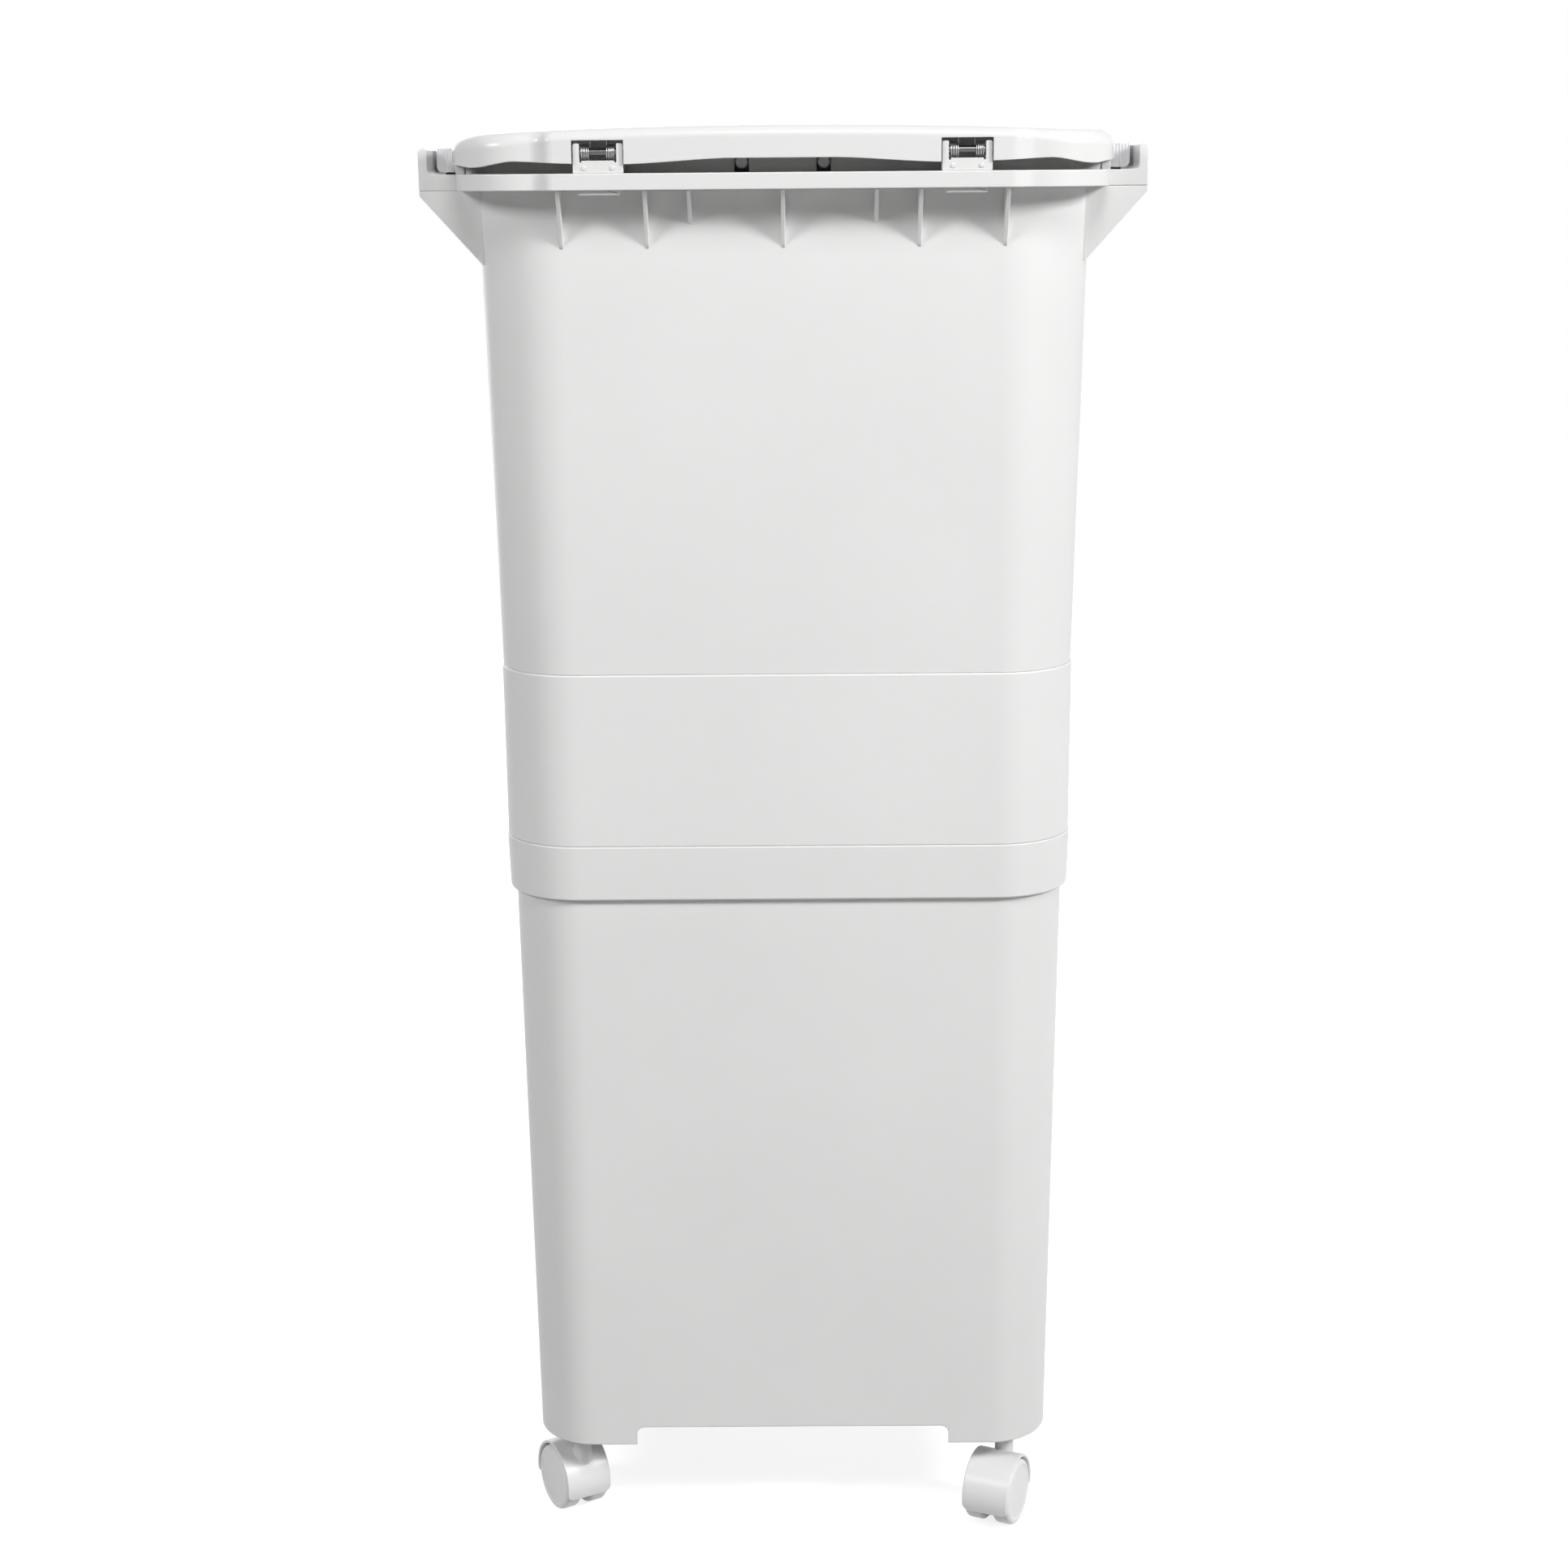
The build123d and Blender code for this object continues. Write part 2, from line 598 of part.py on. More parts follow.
def make_lid():
    outline = rim_plan(lid_x)
    inner = offset(outline, -LID_WALL)
    cavity = crowned(inner, lid_crown - LID_WALL, LID_CROWN_RADIUS - LID_WALL)
    half = HINGE_CUT_WIDTH / 2
    for x in (-HINGE_X, HINGE_X):
        for side in (-1, 1):
            cavity -= lid_lug(x + side * (half + LID_LUG / 2))
    cavity -= lid_catch()
    shell = crowned(outline, lid_crown, LID_CROWN_RADIUS)
    shell = fillet(shell.faces().sort_by(Axis.Z)[-1].edges(), LID_EDGE_RADIUS)
    lid = shell - cavity - waved_cut()
    for side in (-1, 1):
        lid -= side_cut(side)
    for x in (-HINGE_X, HINGE_X):
        cut_z = (frame_top, frame_top + HINGE_CUT_RISE)
        lid -= block((x - half, x + half), (hinge_y, 2 * rear_block), cut_z)
        lid -= hinge_pin(x)
    return lid


# Hinges: a bracket snapped into the rim, a pin held by the lid and two torsion springs
def bracket_tongue(x):
    """Tongue of a bracket where it passes through the rim plate."""
    middle = hinge_y - HINGE_INSET / 2
    span = (x - TONGUE_WIDTH / 2, x + TONGUE_WIDTH / 2)
    depth = (middle - TONGUE_DEPTH / 2, middle + TONGUE_DEPTH / 2)
    return block(span, depth, (upper_top - TONGUE_HOOK, frame_top))


def make_bracket(x):
    rear = rear_block - BRACKET_REAR_INSET
    depth = (rear - BRACKET_DEPTH, rear)
    half = BRACKET_WIDTH / 2
    bracket = block((x - half, x + half), depth, (frame_top, frame_top + BRACKET_BASE))
    for side in (-1, 1):
        span = sorted((x + side * half, x + side * (half - BRACKET_ARM)))
        arm = block(span, depth, (frame_top, frame_top + BRACKET_TOP_RISE))
        top = arm.faces().sort_by(Axis.Z)[-1].edges().filter_by(Axis.X)
        bracket += fillet(top, BRACKET_CORNER)
    bracket += bracket_tongue(x)
    hook_top = plate_foot - SEAT_GAP
    tongue = bracket_tongue(x).bounding_box()
    wide = TONGUE_HOOK_WIDTH / 2
    slope = wide - TONGUE_WIDTH / 2
    hook = [(x - wide, hook_top), (x + wide, hook_top), (x + wide - slope, upper_top - TONGUE_HOOK)]
    hook.append((x - wide + slope, upper_top - TONGUE_HOOK))
    bracket += profile_along_y(hook, (tongue.min.Y, tongue.max.Y))
    bore = PIN_DIAMETER / 2 + RUNNING_CLEARANCE
    return bracket - rod_x(bore, (x - half, x + half), hinge_y, hinge_z)


def hinge_pin(x):
    """Pin through both arms of a bracket and both ears of the lid."""
    half = HINGE_CUT_WIDTH / 2 + LID_LUG
    return rod_x(PIN_DIAMETER / 2, (x - half, x + half), hinge_y, hinge_z)


def lid_ceiling(x):
    """Inner face of the lid above a place."""
    inside = LID_CROWN_RADIUS - LID_WALL
    return lid_crown - LID_CROWN_RADIUS + sqrt(inside**2 - x**2)


def make_hinge_springs(name, x):
    mean = (COIL_DIAMETER - WIRE) / 2
    half = BRACKET_WIDTH / 2 - BRACKET_ARM - COIL_ARM_GAP - WIRE / 2
    springs = []
    for side in (-1, 1):
        points = []
        directions = []
        for step in range(2 * COIL_TURNS + 1):
            angle = radians(180 - 180 * step)
            along = x + side * (half - COIL_PITCH * step / 2)
            points.append(Vector(along, hinge_y + mean * cos(angle), hinge_z + mean * sin(angle)))
            advance = -side * COIL_PITCH / radians(360)
            directions.append(Vector(advance, mean * sin(angle), -mean * cos(angle)).normalized())
        directions[0] = Vector(0, 0, 1)
        directions[-1] = Vector(0, 0, 1)
        seat = Vector(points[0].X, points[0].Y, frame_top + BRACKET_BASE + SEAT_GAP)
        last = points[-1]
        ceiling = Vector(last.X, last.Y, lid_ceiling(last.X) - SEAT_GAP)
        springs.append(wound_wire(name, points, directions, (seat, ceiling), WIRE, radians(360) * mean))
    return Compound(children=springs)


# Bag pegs: round pegs on small plates behind the upstand's notches
def make_bag_pegs():
    inner_face = BODY_DEPTH / 2 + upstand_offset - WALL
    width, thickness, height = PEG_PLATE
    z = frame_top + PEG_RISE
    pegs = []
    for x in (-PEG_X, PEG_X):
        span = (x - width / 2, x + width / 2)
        plate = block(span, (inner_face - thickness, inner_face), (z - height / 2, z + height / 2))
        pegs.append(plate + rod_y(PEG_DIAMETER / 2, x, (inner_face - thickness, inner_face + PEG_REACH), z))
    return Compound(children=pegs)


# Latch button: cap in a window of the frame's front housing, with a nose at the lid's catch
button_z = frame_top - BUTTON_DROP
button_back = -front_block + HOUSING_WALL + SEAT_GAP + BUTTON_FLANGE


def latch_front():
    """Front of the latch nose."""
    return -front_block + LATCH_SETBACK - LATCH_NOSE


def button_housing():
    """Box behind the front block, open towards the bin, with a window for the button."""
    half = HOUSING_WIDTH / 2
    foot = frame_top - HOUSING_HEIGHT
    back = -mouth_y - SEAT_GAP
    house = block((-half, half), (-front_block, back), (foot, plate_foot))
    inner = half - HOUSING_WALL
    house -= block((-inner, inner), (-front_block + HOUSING_WALL, back), (foot + HOUSING_WALL, plate_foot))
    house += block((-half, half), (-front_block, back), (plate_foot, frame_top))
    window = Rectangle(BUTTON_WIDTH + 2 * BUTTON_GAP, BUTTON_HEIGHT + 2 * BUTTON_GAP)
    window = fillet(window.vertices(), BUTTON_CORNER + BUTTON_GAP)
    house -= extrude(Plane.XZ * Pos(0, button_z) * window, front_block)
    return house


def latch_slot():
    """Slot in the frame plate for the latch arm and its travel."""
    half = LATCH_WIDTH / 2 + BUTTON_GAP
    back = latch_front() + LATCH_NOSE + LATCH_ARM + BUTTON_TRAVEL + BUTTON_GAP
    return block((-half, half), (latch_front() - LATCH_CLEAR, back), (plate_foot, frame_top))


def make_button():
    cap = Rectangle(BUTTON_WIDTH, BUTTON_HEIGHT)
    cap = Plane.XZ * Pos(0, button_z) * fillet(cap.vertices(), BUTTON_CORNER)
    face = front_block + BUTTON_PROUD
    button = Pos(0, button_back, 0) * extrude(cap, face + button_back)
    edge = button.faces().sort_by(Axis.Y)[0].edges()
    button = chamfer(edge, BUTTON_PROUD / 2)
    half_x = BUTTON_WIDTH / 2 + BUTTON_FLANGE_MARGIN
    half_z = BUTTON_HEIGHT / 2 + BUTTON_FLANGE_MARGIN
    flange_y = (button_back - BUTTON_FLANGE, button_back)
    button += block((-half_x, half_x), flange_y, (button_z - half_z, button_z + half_z))
    half = LATCH_WIDTH / 2
    arm_front = latch_front() + LATCH_NOSE
    arm_y = (arm_front, arm_front + LATCH_ARM)
    bridge_top = button_z + half_z
    button += block((-half, half), (button_back, arm_y[1]), (bridge_top - LATCH_ARM, bridge_top))
    nose_top = frame_top + LATCH_RISE
    button += block((-half, half), arm_y, (bridge_top - LATCH_ARM, nose_top))
    nose_foot = frame_top + CATCH_RISE + SEAT_GAP
    nose = [(arm_front, nose_foot), (latch_front(), nose_foot), (arm_front, nose_top)]
    button += profile_along_x(nose, (-half, half))
    return button + rod_y(SPRING_POST / 2, 0, (button_back, button_back + SPRING_POST_LENGTH), button_z)


def make_button_spring():
    mean = (BUTTON_SPRING_DIAMETER - BUTTON_SPRING_WIRE) / 2
    wall_y = -(BODY_DEPTH / 2 + upper_offset(button_z))
    first = button_back + SEAT_GAP
    last = wall_y - SEAT_GAP
    stub = 2 * BUTTON_SPRING_WIRE
    start = first + stub
    pitch = (last - stub - start) / BUTTON_SPRING_TURNS
    points = []
    directions = []
    for step in range(2 * BUTTON_SPRING_TURNS + 1):
        angle = radians(180 * step)
        y = start + pitch * step / 2
        points.append(Vector(mean * cos(angle), y, button_z + mean * sin(angle)))
        directions.append(Vector(-mean * sin(angle), pitch / radians(360), mean * cos(angle)).normalized())
    directions[0] = Vector(0, 1, 0)
    directions[-1] = Vector(0, 1, 0)
    first_end = Vector(points[0].X, first, points[0].Z)
    last_end = Vector(points[-1].X, last, points[-1].Z)
    ends = (first_end, last_end)
    return wound_wire("button_spring", points, directions, ends, BUTTON_SPRING_WIRE, radians(360) * mean)


# Casters: hood on a stem, two wheels on an axle; each is built with its trail along +X, then turned
wheel_radius = WHEEL_DIAMETER / 2
hood_inner = wheel_radius + HOOD_CLEARANCE
hood_outer = hood_inner + HOOD_THICKNESS
neck_top = lower_foot + SOCKET_RECESS - NECK_GAP


def caster_places():
    """Stem places by name."""
    return {
        "rear_right": (CASTER_X, CASTER_Y),
        "rear_left": (-CASTER_X, CASTER_Y),
        "front_right": (CASTER_X, -CASTER_Y),
        "front_left": (-CASTER_X, -CASTER_Y),
    }


def pie(radius, width):
    """Sector from one low edge of the hood over the top to the other, along the axle."""
    low = HOOD_LOW_ANGLE
    centre = Vector(CASTER_TRAIL, -width / 2, wheel_radius)
    reach = [centre + Vector(cos(radians(a)), 0, sin(radians(a))) * radius for a in (low, 90, 180 - low)]
    arc = Edge.make_three_point_arc(*reach)
    outline = Wire([Edge.make_line(centre, reach[0]), arc, Edge.make_line(reach[2], centre)])
    return extrude(Face(outline), width, dir=(0, 1, 0))


def make_hood():
    span = (-HOOD_WIDTH / 2, HOOD_WIDTH / 2)
    room = rod_y(hood_inner, CASTER_TRAIL, span, wheel_radius)
    hood = pie(hood_outer, HOOD_WIDTH) - room
    ends = [e for e in hood.edges() if e.geom_type == GeomType.LINE and abs(e.tangent_at(0).Y) < 0.5]
    hood = fillet(ends, HOOD_CORNER)
    neck = rod_z(NECK_DIAMETER / 2, 0, 0, (wheel_radius, neck_top))
    foot = neck.faces().sort_by(Axis.Z)[0].edges()
    neck = fillet(foot, NECK_DIAMETER / 2 - 1)
    hood += neck - room
    hood += pie(hood_inner + HOOD_THICKNESS / 2, HOOD_WEB)
    hood += rod_y(WHEEL_HUB / 2, CASTER_TRAIL, (-HOOD_WEB / 2, HOOD_WEB / 2), wheel_radius)
    hood -= rod_z(STEM_DIAMETER / 2 + RUNNING_CLEARANCE, 0, 0, (neck_top - STEM_IN_HOOD, neck_top))
    return hood - make_axle()


def make_axle():
    return rod_y(AXLE_DIAMETER / 2, CASTER_TRAIL, (-AXLE_LENGTH / 2, AXLE_LENGTH / 2), wheel_radius)


def make_stem():
    low = neck_top - STEM_IN_HOOD + SEAT_GAP
    top = lower_foot + SOCKET_RECESS + SOCKET_DEPTH
    return rod_z(STEM_DIAMETER / 2, 0, 0, (low, top))


def make_wheel(side):
    inner = HOOD_WEB / 2 + WHEEL_GAP
    outer = inner + WHEEL_WIDTH
    bore = AXLE_DIAMETER / 2 + RUNNING_CLEARANCE
    bore_end = AXLE_LENGTH / 2 + SEAT_GAP
    edge = wheel_radius - WHEEL_EDGE
    tread = (inner + WHEEL_EDGE, outer - WHEEL_EDGE)
    outline = [(bore, inner), (edge, inner), (wheel_radius, tread[0]), (wheel_radius, tread[1])]
    outline += [(edge, outer), (edge - WHEEL_RIM, outer), (edge - WHEEL_RIM, outer - WHEEL_DISH)]
    outline += [(0, outer - WHEEL_DISH), (0, bore_end), (bore, bore_end)]
    face = make_face(Polyline(*[(radius, side * along) for radius, along in outline], close=True))
    return Pos(CASTER_TRAIL, 0, wheel_radius) * revolve(face, Axis.Y)


def make_casters():
    pieces = {
        "hood": make_hood(),
        "stem": make_stem(),
        "axle": make_axle(),
        "wheel_left": make_wheel(1),
        "wheel_right": make_wheel(-1),
    }
    nodes = {}
    for place, (x, y) in caster_places().items():
        for piece, solid in pieces.items():
            nodes[f"caster_{place}_{piece}"] = Pos(x, y) * Rot(0, 0, CASTER_HEADINGS[place]) * solid
    return nodes


nodes = {
    "lower_bin": make_lower_bin(),
    "middle_collar": make_collar(),
    "front_flap": make_flap(),
    "flap_pin_left": flap_pin(-1),
    "flap_pin_right": flap_pin(1),
    "upper_bin": make_upper_bin(),
    "top_frame": make_frame(),
    "grip_left": make_grip(-1),
    "grip_right": make_grip(1),
    "lid": make_lid(),
    "bag_pegs": make_bag_pegs(),
    "latch_button": make_button(),
    "button_spring": make_button_spring(),
}
for place, x in (("left", -HINGE_X), ("right", HINGE_X)):
    nodes[f"hinge_bracket_{place}"] = make_bracket(x)
    nodes[f"hinge_pin_{place}"] = hinge_pin(x)
    nodes[f"hinge_springs_{place}"] = make_hinge_springs(f"hinge_springs_{place}", x)
nodes.update(make_casters())

os.makedirs("parts", exist_ok=True)
for name, shape in nodes.items():
    export_step(shape, f"parts/{name}.step")
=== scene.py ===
import json
import math

import bpy
import mathutils
import numpy as np
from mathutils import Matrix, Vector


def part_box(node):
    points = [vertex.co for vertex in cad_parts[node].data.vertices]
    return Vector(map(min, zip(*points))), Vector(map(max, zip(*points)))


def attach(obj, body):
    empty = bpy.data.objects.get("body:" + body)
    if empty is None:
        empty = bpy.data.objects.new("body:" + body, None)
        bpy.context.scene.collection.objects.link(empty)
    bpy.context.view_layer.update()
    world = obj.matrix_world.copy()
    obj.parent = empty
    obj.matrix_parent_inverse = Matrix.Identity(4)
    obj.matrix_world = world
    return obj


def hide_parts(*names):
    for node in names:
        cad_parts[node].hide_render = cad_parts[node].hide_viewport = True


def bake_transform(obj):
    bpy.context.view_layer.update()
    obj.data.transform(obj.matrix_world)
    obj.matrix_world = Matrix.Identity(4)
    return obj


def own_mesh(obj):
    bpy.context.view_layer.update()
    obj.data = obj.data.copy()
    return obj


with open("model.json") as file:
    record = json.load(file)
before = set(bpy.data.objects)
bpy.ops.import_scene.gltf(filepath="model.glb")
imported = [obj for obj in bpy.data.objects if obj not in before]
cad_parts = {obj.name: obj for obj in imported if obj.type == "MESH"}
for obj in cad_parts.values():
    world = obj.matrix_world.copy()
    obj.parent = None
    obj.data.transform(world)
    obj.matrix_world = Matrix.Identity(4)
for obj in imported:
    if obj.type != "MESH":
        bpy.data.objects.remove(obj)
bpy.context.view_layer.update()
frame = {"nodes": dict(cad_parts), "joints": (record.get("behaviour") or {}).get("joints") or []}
bpy.context.scene.view_settings.view_transform = "Standard"

# Lower bin
# The tall bottom tub is one injection moulding in pale grey polypropylene, drawn off its core with a slight
# draft. A turned-down band stiffens its mouth, and the skirt under its floor is notched front and rear.
BODY_HALF = np.array([0.165, 0.1415])
BODY_CORNER = 0.045
WALL = 0.0024
FLOOR = 0.0026
SKIRT_FOOT_OFFSET = -0.0092
LOWER_MOUTH_OFFSET = -0.0039
SKIRT = 0.015
BAND_HEIGHT = 0.032
BAND_TOP_OFFSET = 0.0002
BAND_FOOT_OFFSET = -0.0008
NOTCH_HALF = 0.095
NOTCH_HEIGHT = 0.0114
NOTCH_CORNER = 0.005
NOTCH_FADE = (0.002, 0.0006)
NOTCH_POINTS = 7
CENTRE_OFFSET = -0.040
LOWER_ROUNDS = [0, 0.0012, 0.0008, 0.0011, 0.0002, 0.0002, 0.0006, 0.0012, 0.0008, 0.0008, 0.004, 0]
STEP = 2e-5
SQUARE_ON = 0.99
PALE_GREY = (0.81, 0.81, 0.805)
NOISE_RANGE = (0.3, 0.7)
PLASTIC_TONES = (0.975, 1.012)
ROUGHNESS_SPREAD = (0.94, 1.06)
SKIN_DEPTH = 0.00012
PLASTIC_IOR = 1.49
PLASTIC_SPECULAR = 0.28
lower_foot, lower_top = (corner.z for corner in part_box("lower_bin"))


def rounded_line(corners, radii, closed=False, steps=5):
    """Points and right-hand normals of a line with an arc at each corner, or a point if its radius is nought.
    An arc starts and ends its radius times the tangent of half the turn away from the corner."""
    corners = np.asarray(corners, float)
    unit = np.roll(corners, -1, 0) - corners
    unit /= np.linalg.norm(unit, axis=1)[:, None]
    points, normals = [], []
    for corner, before, after, radius in zip(corners, np.roll(unit, 1, 0), unit, radii):
        turn = math.atan2(before[0] * after[1] - before[1] * after[0], before @ after)
        share = np.linspace(0, 1, steps + 1) if radius else np.array([0.5])
        heading = math.atan2(before[1], before[0]) + turn * share
        right = np.stack([np.sin(heading), -np.cos(heading)], 1)
        start = corner - before * radius * math.tan(abs(turn) / 2)
        points.append(start + math.copysign(radius, turn) * (right - right[0]))
        normals.append(right)
    if not closed:
        points[0], normals[0] = corners[:1], np.array([[unit[0][1], -unit[0][0]]])
        points[-1], normals[-1] = corners[-1:], np.array([[unit[-2][1], -unit[-2][0]]])
    return np.concatenate(points), np.concatenate(normals)


def with_stations(path, stations, outward):
    """The path with more points at stations along the run that faces outward, in order round the middle."""
    points, normals = path
    outward = np.array(outward, float)
    extra = np.outer(stations, np.abs(outward[::-1])) + outward * np.max(points @ outward)
    points = np.concatenate([points, extra])
    normals = np.concatenate([normals, np.tile(outward, (len(extra), 1))])
    order = np.argsort(np.arctan2(points[:, 1], points[:, 0]), kind="stable")
    return points[order], normals[order]


def body_path():
    """Rounded rectangle of the collar's top edge, anticlockwise from above, with its outward normals."""
    across, deep = BODY_HALF
    corners = [(across, -deep), (across, deep), (-across, deep), (-across, -deep)]
    return rounded_line(corners, [BODY_CORNER] * 4, closed=True, steps=24)


def carried(path, profile):
    """Profile of offset and height carried round a path: each point moves out along its normal by the offset.
    Gives the grid of points and the grid of their normals."""
    points, outward = path
    line, line_normals = profile
    flat = points[:, None, :] + outward[:, None, :] * line[None, :, :1]
    height = np.broadcast_to(line[None, :, 1:], flat.shape[:2] + (1,))
    normals = outward[:, None, :] * line_normals[None, :, :1]
    upward = np.broadcast_to(line_normals[None, :, 1:], flat.shape[:2] + (1,))
    return np.concatenate([flat, height], 2), np.concatenate([normals, upward], 2)


def closed_grid(points, wrap=False, flip=False):
    """Quads of a grid whose rows close on themselves; its columns close too, or a flat face caps each end."""
    rows, columns = points.shape[:2]
    row, column = np.meshgrid(np.arange(rows), np.arange(columns - (not wrap)), indexing="ij")
    next_row, next_column = (row + 1) % rows, (column + 1) % columns
    quads = [row * columns + column, next_row * columns + column]
    quads += [next_row * columns + next_column, row * columns + next_column]
    faces = list(np.stack(quads, -1).reshape(-1, 4))
    if not wrap:
        first = np.arange(rows) * columns
        faces += [first[::-1], first + columns - 1]
    return [face[::-1] for face in faces] if flip else faces


def put_in(name, data):
    """An object with this mesh, lamp or lens, put in the scene."""
    shown = bpy.data.objects.new(name, data)
    bpy.context.scene.collection.objects.link(shown)
    return shown


def make_piece(name, surface, material, body, slot, faces=None):
    """A smooth mesh object at the origin that rides on a CAD body, shaded by its surface's own normals,
    if it has any. Unless other faces are given, the surface is a grid with a cap at each end."""
    points, normals = surface
    faces = closed_grid(points) if faces is None else faces
    mesh = bpy.data.meshes.new(name)
    mesh.from_pydata(np.reshape(points, (-1, 3)).tolist(), [], [face.tolist() for face in faces])
    mesh.shade_smooth()
    if normals is not None:
        mesh.normals_split_custom_set_from_vertices(np.reshape(normals, (-1, 3)).tolist())
    mesh.materials.append(material)
    piece = put_in(name, mesh)
    if body:
        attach(piece, body)
    return piece


def fill(holder, node, inputs):
    """Joins or fills the inputs of a shader node."""
    for name, value in inputs.items():
        if isinstance(value, bpy.types.NodeSocket):
            holder.node_tree.links.new(value, node.inputs[name])
        else:
            node.inputs[name].default_value = value


def wire_up(holder, kind, inputs=None, **settings):
    """Adds a shader node to a material or the world, sets its options and joins or fills its inputs."""
    node = holder.node_tree.nodes.new(kind)
    for name, value in settings.items():
        setattr(node, name, value)
    fill(holder, node, inputs or {})
    return node


def ranged(holder, value, first, last, low, high):
    """A value moved from the range of first to last into the range of low to high."""
    limits = {"Value": value, "From Min": first, "From Max": last, "To Min": low, "To Max": high}
    return wire_up(holder, "ShaderNodeMapRange", limits).outputs["Result"]


def new_material(name):
    """A material with nodes, its shader, and the place on the object that its patterns are laid over."""
    material = bpy.data.materials.new(name)
    material.use_nodes = True
    place = wire_up(material, "ShaderNodeTexCoord").outputs["Object"]
    return material, material.node_tree.nodes["Principled BSDF"], place


def blend_of(material, share, low, high):
    """A value or colour between two, as noise goes through the middle of its range."""
    if isinstance(low, tuple):
        ramp = wire_up(material, "ShaderNodeValToRGB", {"Fac": share})
        for element, position, colour in zip(ramp.color_ramp.elements, NOISE_RANGE, (low, high)):
            element.position, element.color = position, (*colour, 1)
        return ramp.outputs["Color"]
    return ranged(material, share, *NOISE_RANGE, low, high)


def noise_over(material, place, scale=1.0, detail=2.0, stretch=(1.0, 1.0, 1.0)):
    """Cloudy noise from 0 to 1 over a place, drawn out along the axes by a stretch."""
    drawn = wire_up(material, "ShaderNodeMapping", {"Vector": place, "Scale": stretch}).outputs["Vector"]
    cloud = {"Vector": drawn, "Scale": scale, "Detail": detail}
    return wire_up(material, "ShaderNodeTexNoise", cloud).outputs["Fac"]


def moulded_plastic(name, colour, roughness, grain):
    """Polypropylene off the mould: cloudy tone, faint draw marks up the wall and a fine etched skin."""
    material, shader, place = new_material(name)
    cloud = noise_over(material, place, scale=7.0, detail=4.0)
    marks = noise_over(material, place, stretch=(260.0, 260.0, 5.0))
    skin = noise_over(material, place, scale=2600.0, detail=1.0)
    dull, pale = (tuple(min(1.0, channel * tone) for channel in colour) for tone in PLASTIC_TONES)
    smooth, rough = (roughness * spread for spread in ROUGHNESS_SPREAD)
    bump = wire_up(material, "ShaderNodeBump", {"Height": skin, "Strength": grain, "Distance": SKIN_DEPTH})
    inputs = {"Base Color": blend_of(material, cloud, dull, pale), "Normal": bump.outputs["Normal"]}
    inputs["Roughness"] = blend_of(material, marks, smooth, rough)
    fill(material, shader, inputs | {"IOR": PLASTIC_IOR, "Specular IOR Level": PLASTIC_SPECULAR})
    return material


def notch_rise(path):
    """Height of the notch over each path point: a straight side, a round corner, then level."""
    points, outward = path
    depth = np.clip(NOTCH_HALF - np.abs(points[:, 0]), 0, NOTCH_CORNER)
    corner = np.sqrt(NOTCH_CORNER**2 - (NOTCH_CORNER - depth) ** 2)
    inside = (depth > 0) & (np.abs(outward[:, 1]) > SQUARE_ON)
    return np.where(inside, NOTCH_HEIGHT - NOTCH_CORNER + corner, 0)


def lower_bin_surface():
    """The tub's profile carried round the body path. Over the notches the skirt's foot is lifted, and the
    lift fades out towards the floor."""
    floor_under = lower_foot + SKIRT
    band_foot = lower_top - BAND_HEIGHT
    band_inner = BAND_FOOT_OFFSET - WALL
    skirt_inner = SKIRT_FOOT_OFFSET - WALL
    draft = (LOWER_MOUTH_OFFSET - SKIRT_FOOT_OFFSET) * FLOOR / (lower_top - lower_foot)
    corners = [(CENTRE_OFFSET, floor_under), (skirt_inner, floor_under), (skirt_inner, lower_foot)]
    corners += [(SKIRT_FOOT_OFFSET, lower_foot), (LOWER_MOUTH_OFFSET - draft, lower_top - FLOOR)]
    corners += [(band_inner, lower_top - FLOOR), (band_inner, band_foot), (BAND_FOOT_OFFSET, band_foot)]
    corners += [(BAND_TOP_OFFSET, lower_top), (LOWER_MOUTH_OFFSET - WALL, lower_top)]
    corners += [(skirt_inner, floor_under + FLOOR), (CENTRE_OFFSET, floor_under + FLOOR)]
    turns = NOTCH_HALF - NOTCH_CORNER * (1 - np.cos(np.linspace(0, math.pi / 2, NOTCH_POINTS)))
    turns = np.append(turns, NOTCH_HALF - STEP)
    stations = np.concatenate([turns, -turns])
    path = with_stations(with_stations(body_path(), stations, (0, 1)), stations, (0, -1))
    points, normals = carried(path, rounded_line(corners, LOWER_ROUNDS, steps=6))
    fixed = floor_under - NOTCH_FADE[1]
    lifted = np.clip((fixed - points[:, :, 2]) / (fixed - lower_foot - NOTCH_FADE[0]), 0, 1)
    points[:, :, 2] += notch_rise(path)[:, None] * lifted
    return points, normals


bin_plastic = moulded_plastic("bin_plastic", PALE_GREY, roughness=0.42, grain=0.10)
base_finish = (bin_plastic, "base", "bin_plastic")
lower_bin = make_piece("lower_tub", lower_bin_surface(), *base_finish)
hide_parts("lower_bin")


# Caster sockets
# Four round bosses moulded under the tub's floor take the caster stems.
# Each is a thick-walled tube with a rounded mouth, one piece with the tub.
SOCKET_RADIUS = 0.0075
SOCKET_ROUNDS = [0, 0.0004, 0.0008, 0.0010, 0.0015, 0]
STEM_RADIUS = 0.0035
SOCKET_RECESS = 0.001
SOCKET_DEPTH = 0.024
AXIS_GAP = 0.0004
CASTERS = ("rear_right", "rear_left", "front_right", "front_left")


def turned(profile, radius, steps=40):
    """A profile of offset and height turned about the upright axis, the offset counted from the radius."""
    angle = np.linspace(0, 2 * math.pi, steps, endpoint=False)
    outward = np.stack([np.cos(angle), np.sin(angle)], 1)
    return carried((outward * radius, outward), profile)


